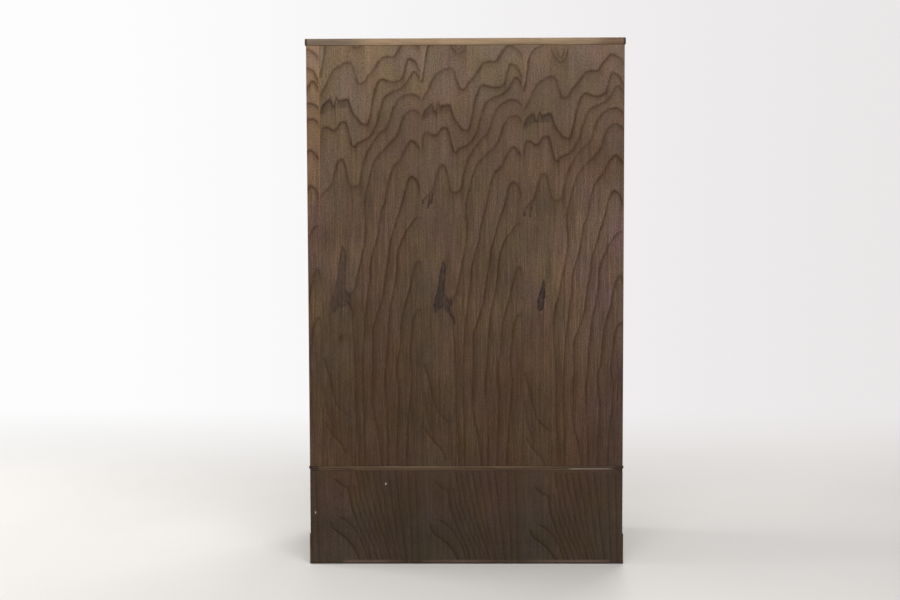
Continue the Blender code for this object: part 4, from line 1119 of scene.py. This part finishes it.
def wall_colour(g, towards):
    """The studio wall: a little brighter on the photograph's left, and even all round outside its view."""
    x, y, z = g.split(towards)
    aside = g.size(x) / g.highest(0.0 - y, AHEAD_LEAST)
    in_view = g.step(aside, *VIEW_ASIDE) * g.step(z, *VIEW_DOWN)
    share = (g.step(x, -WALL_TURN, WALL_TURN) - 0.5) * in_view + 0.5
    return g.mix(share, WALL_DIM, WALL_LIT)


def add_world():
    world = bpy.data.worlds.new("studio")
    bpy.context.scene.world = world
    g = empty_graph(world)
    colour = wall_colour(g, g.add("TexCoord").outputs["Generated"])
    sky = g.add("Background", {"Color": colour, "Strength": g.level(g.on_show(), WORLD_LIGHT, 1.0)})
    g.add("OutputWorld", {"Surface": sky.outputs[0]})


def add_floor():
    """A pale floor that fades into the background all round, with a painted shadow that darkens it towards
    -X.
    """
    half = FLOOR_SIZE / 2
    mesh = bpy.data.meshes.new("floor")
    corners = [(-half, -half, 0.0), (half, -half, 0.0), (half, half, 0.0), (-half, half, 0.0)]
    mesh.from_pydata(corners, [], [(0, 1, 2, 3)])
    floor = add_object("floor", mesh)
    g, place = new_material("pale_floor")
    x, y, _ = g.split(place)
    far = g.math("SQRT", x * x + y * y)
    near = (1.0 - g.step(y, *WALL_FADE)) * (1.0 - g.step(y, *BACK_FADE)) * (1.0 - g.step(far, *FLOOR_FADE))
    speck = g.vary(g.noise(place, *FLOOR_SPECKS), FLOOR_MARKS)
    speck = speck * g.vary(g.noise(place, *FLOOR_CLOUDS), FLOOR_MARKS)
    # Painted shadow: the floor's colour darkens towards -X
    painted_shadow = g.level(g.step(x, *FLOOR_PAINTED_SHADOW_X), FLOOR_PAINTED_SHADOW, 1.0)
    inputs = {"Base Color": g.shade(FLOOR_COLOUR, speck * painted_shadow), "Roughness": FLOOR_ROUGHNESS}
    ground = g.add("BsdfPrincipled", {**inputs, "Specular IOR Level": FLOOR_SHINE})
    towards = g.add("VectorMath", {0: place, 1: CAMERA_PLACE}, operation="SUBTRACT").outputs[0]
    towards = g.add("VectorMath", {0: towards}, operation="NORMALIZE").outputs[0]
    glow = g.add("Emission", {"Color": wall_colour(g, towards), "Strength": 1.0})
    surface = g.add("MixShader", {0: (1.0 - near) * g.on_show(), 1: ground.outputs[0], 2: glow.outputs[0]})
    g.add("OutputMaterial", {"Surface": surface.outputs[0]})
    mesh.materials.append(g.owner)


def add_camera():
    data = bpy.data.cameras.new("photo_camera")
    data.lens = LENS_MM
    camera = add_object("photo_camera", data)
    stand = Matrix.Translation(CAMERA_PLACE)
    for degrees, axis in CAMERA_TURNS:
        stand = stand @ Matrix.Rotation(math.radians(degrees), 4, axis)
    camera.matrix_world = stand
    bpy.context.scene.camera = camera


iron_finish = black_iron()
# Near-black painted shade for the sheets behind the keyholes
painted_shade_finish = keyhole_painted_shade()
dress_nodes(iron_finish)
add_tacks(iron_finish)
add_drawer_lock("upper_drawer", iron_finish, painted_shade_finish)
add_drawer_lock("base_drawer", iron_finish, painted_shade_finish)
# A sheet of painted shade behind the right door's keyhole
add_painted_shade_sheet("right_door_keyhole_shade_sheet", *DOOR_KEYHOLE, "right_door", painted_shade_finish)
add_camera()
add_world()
add_floor()
add_lamps()

bpy.context.scene.view_settings.view_transform = "Standard"
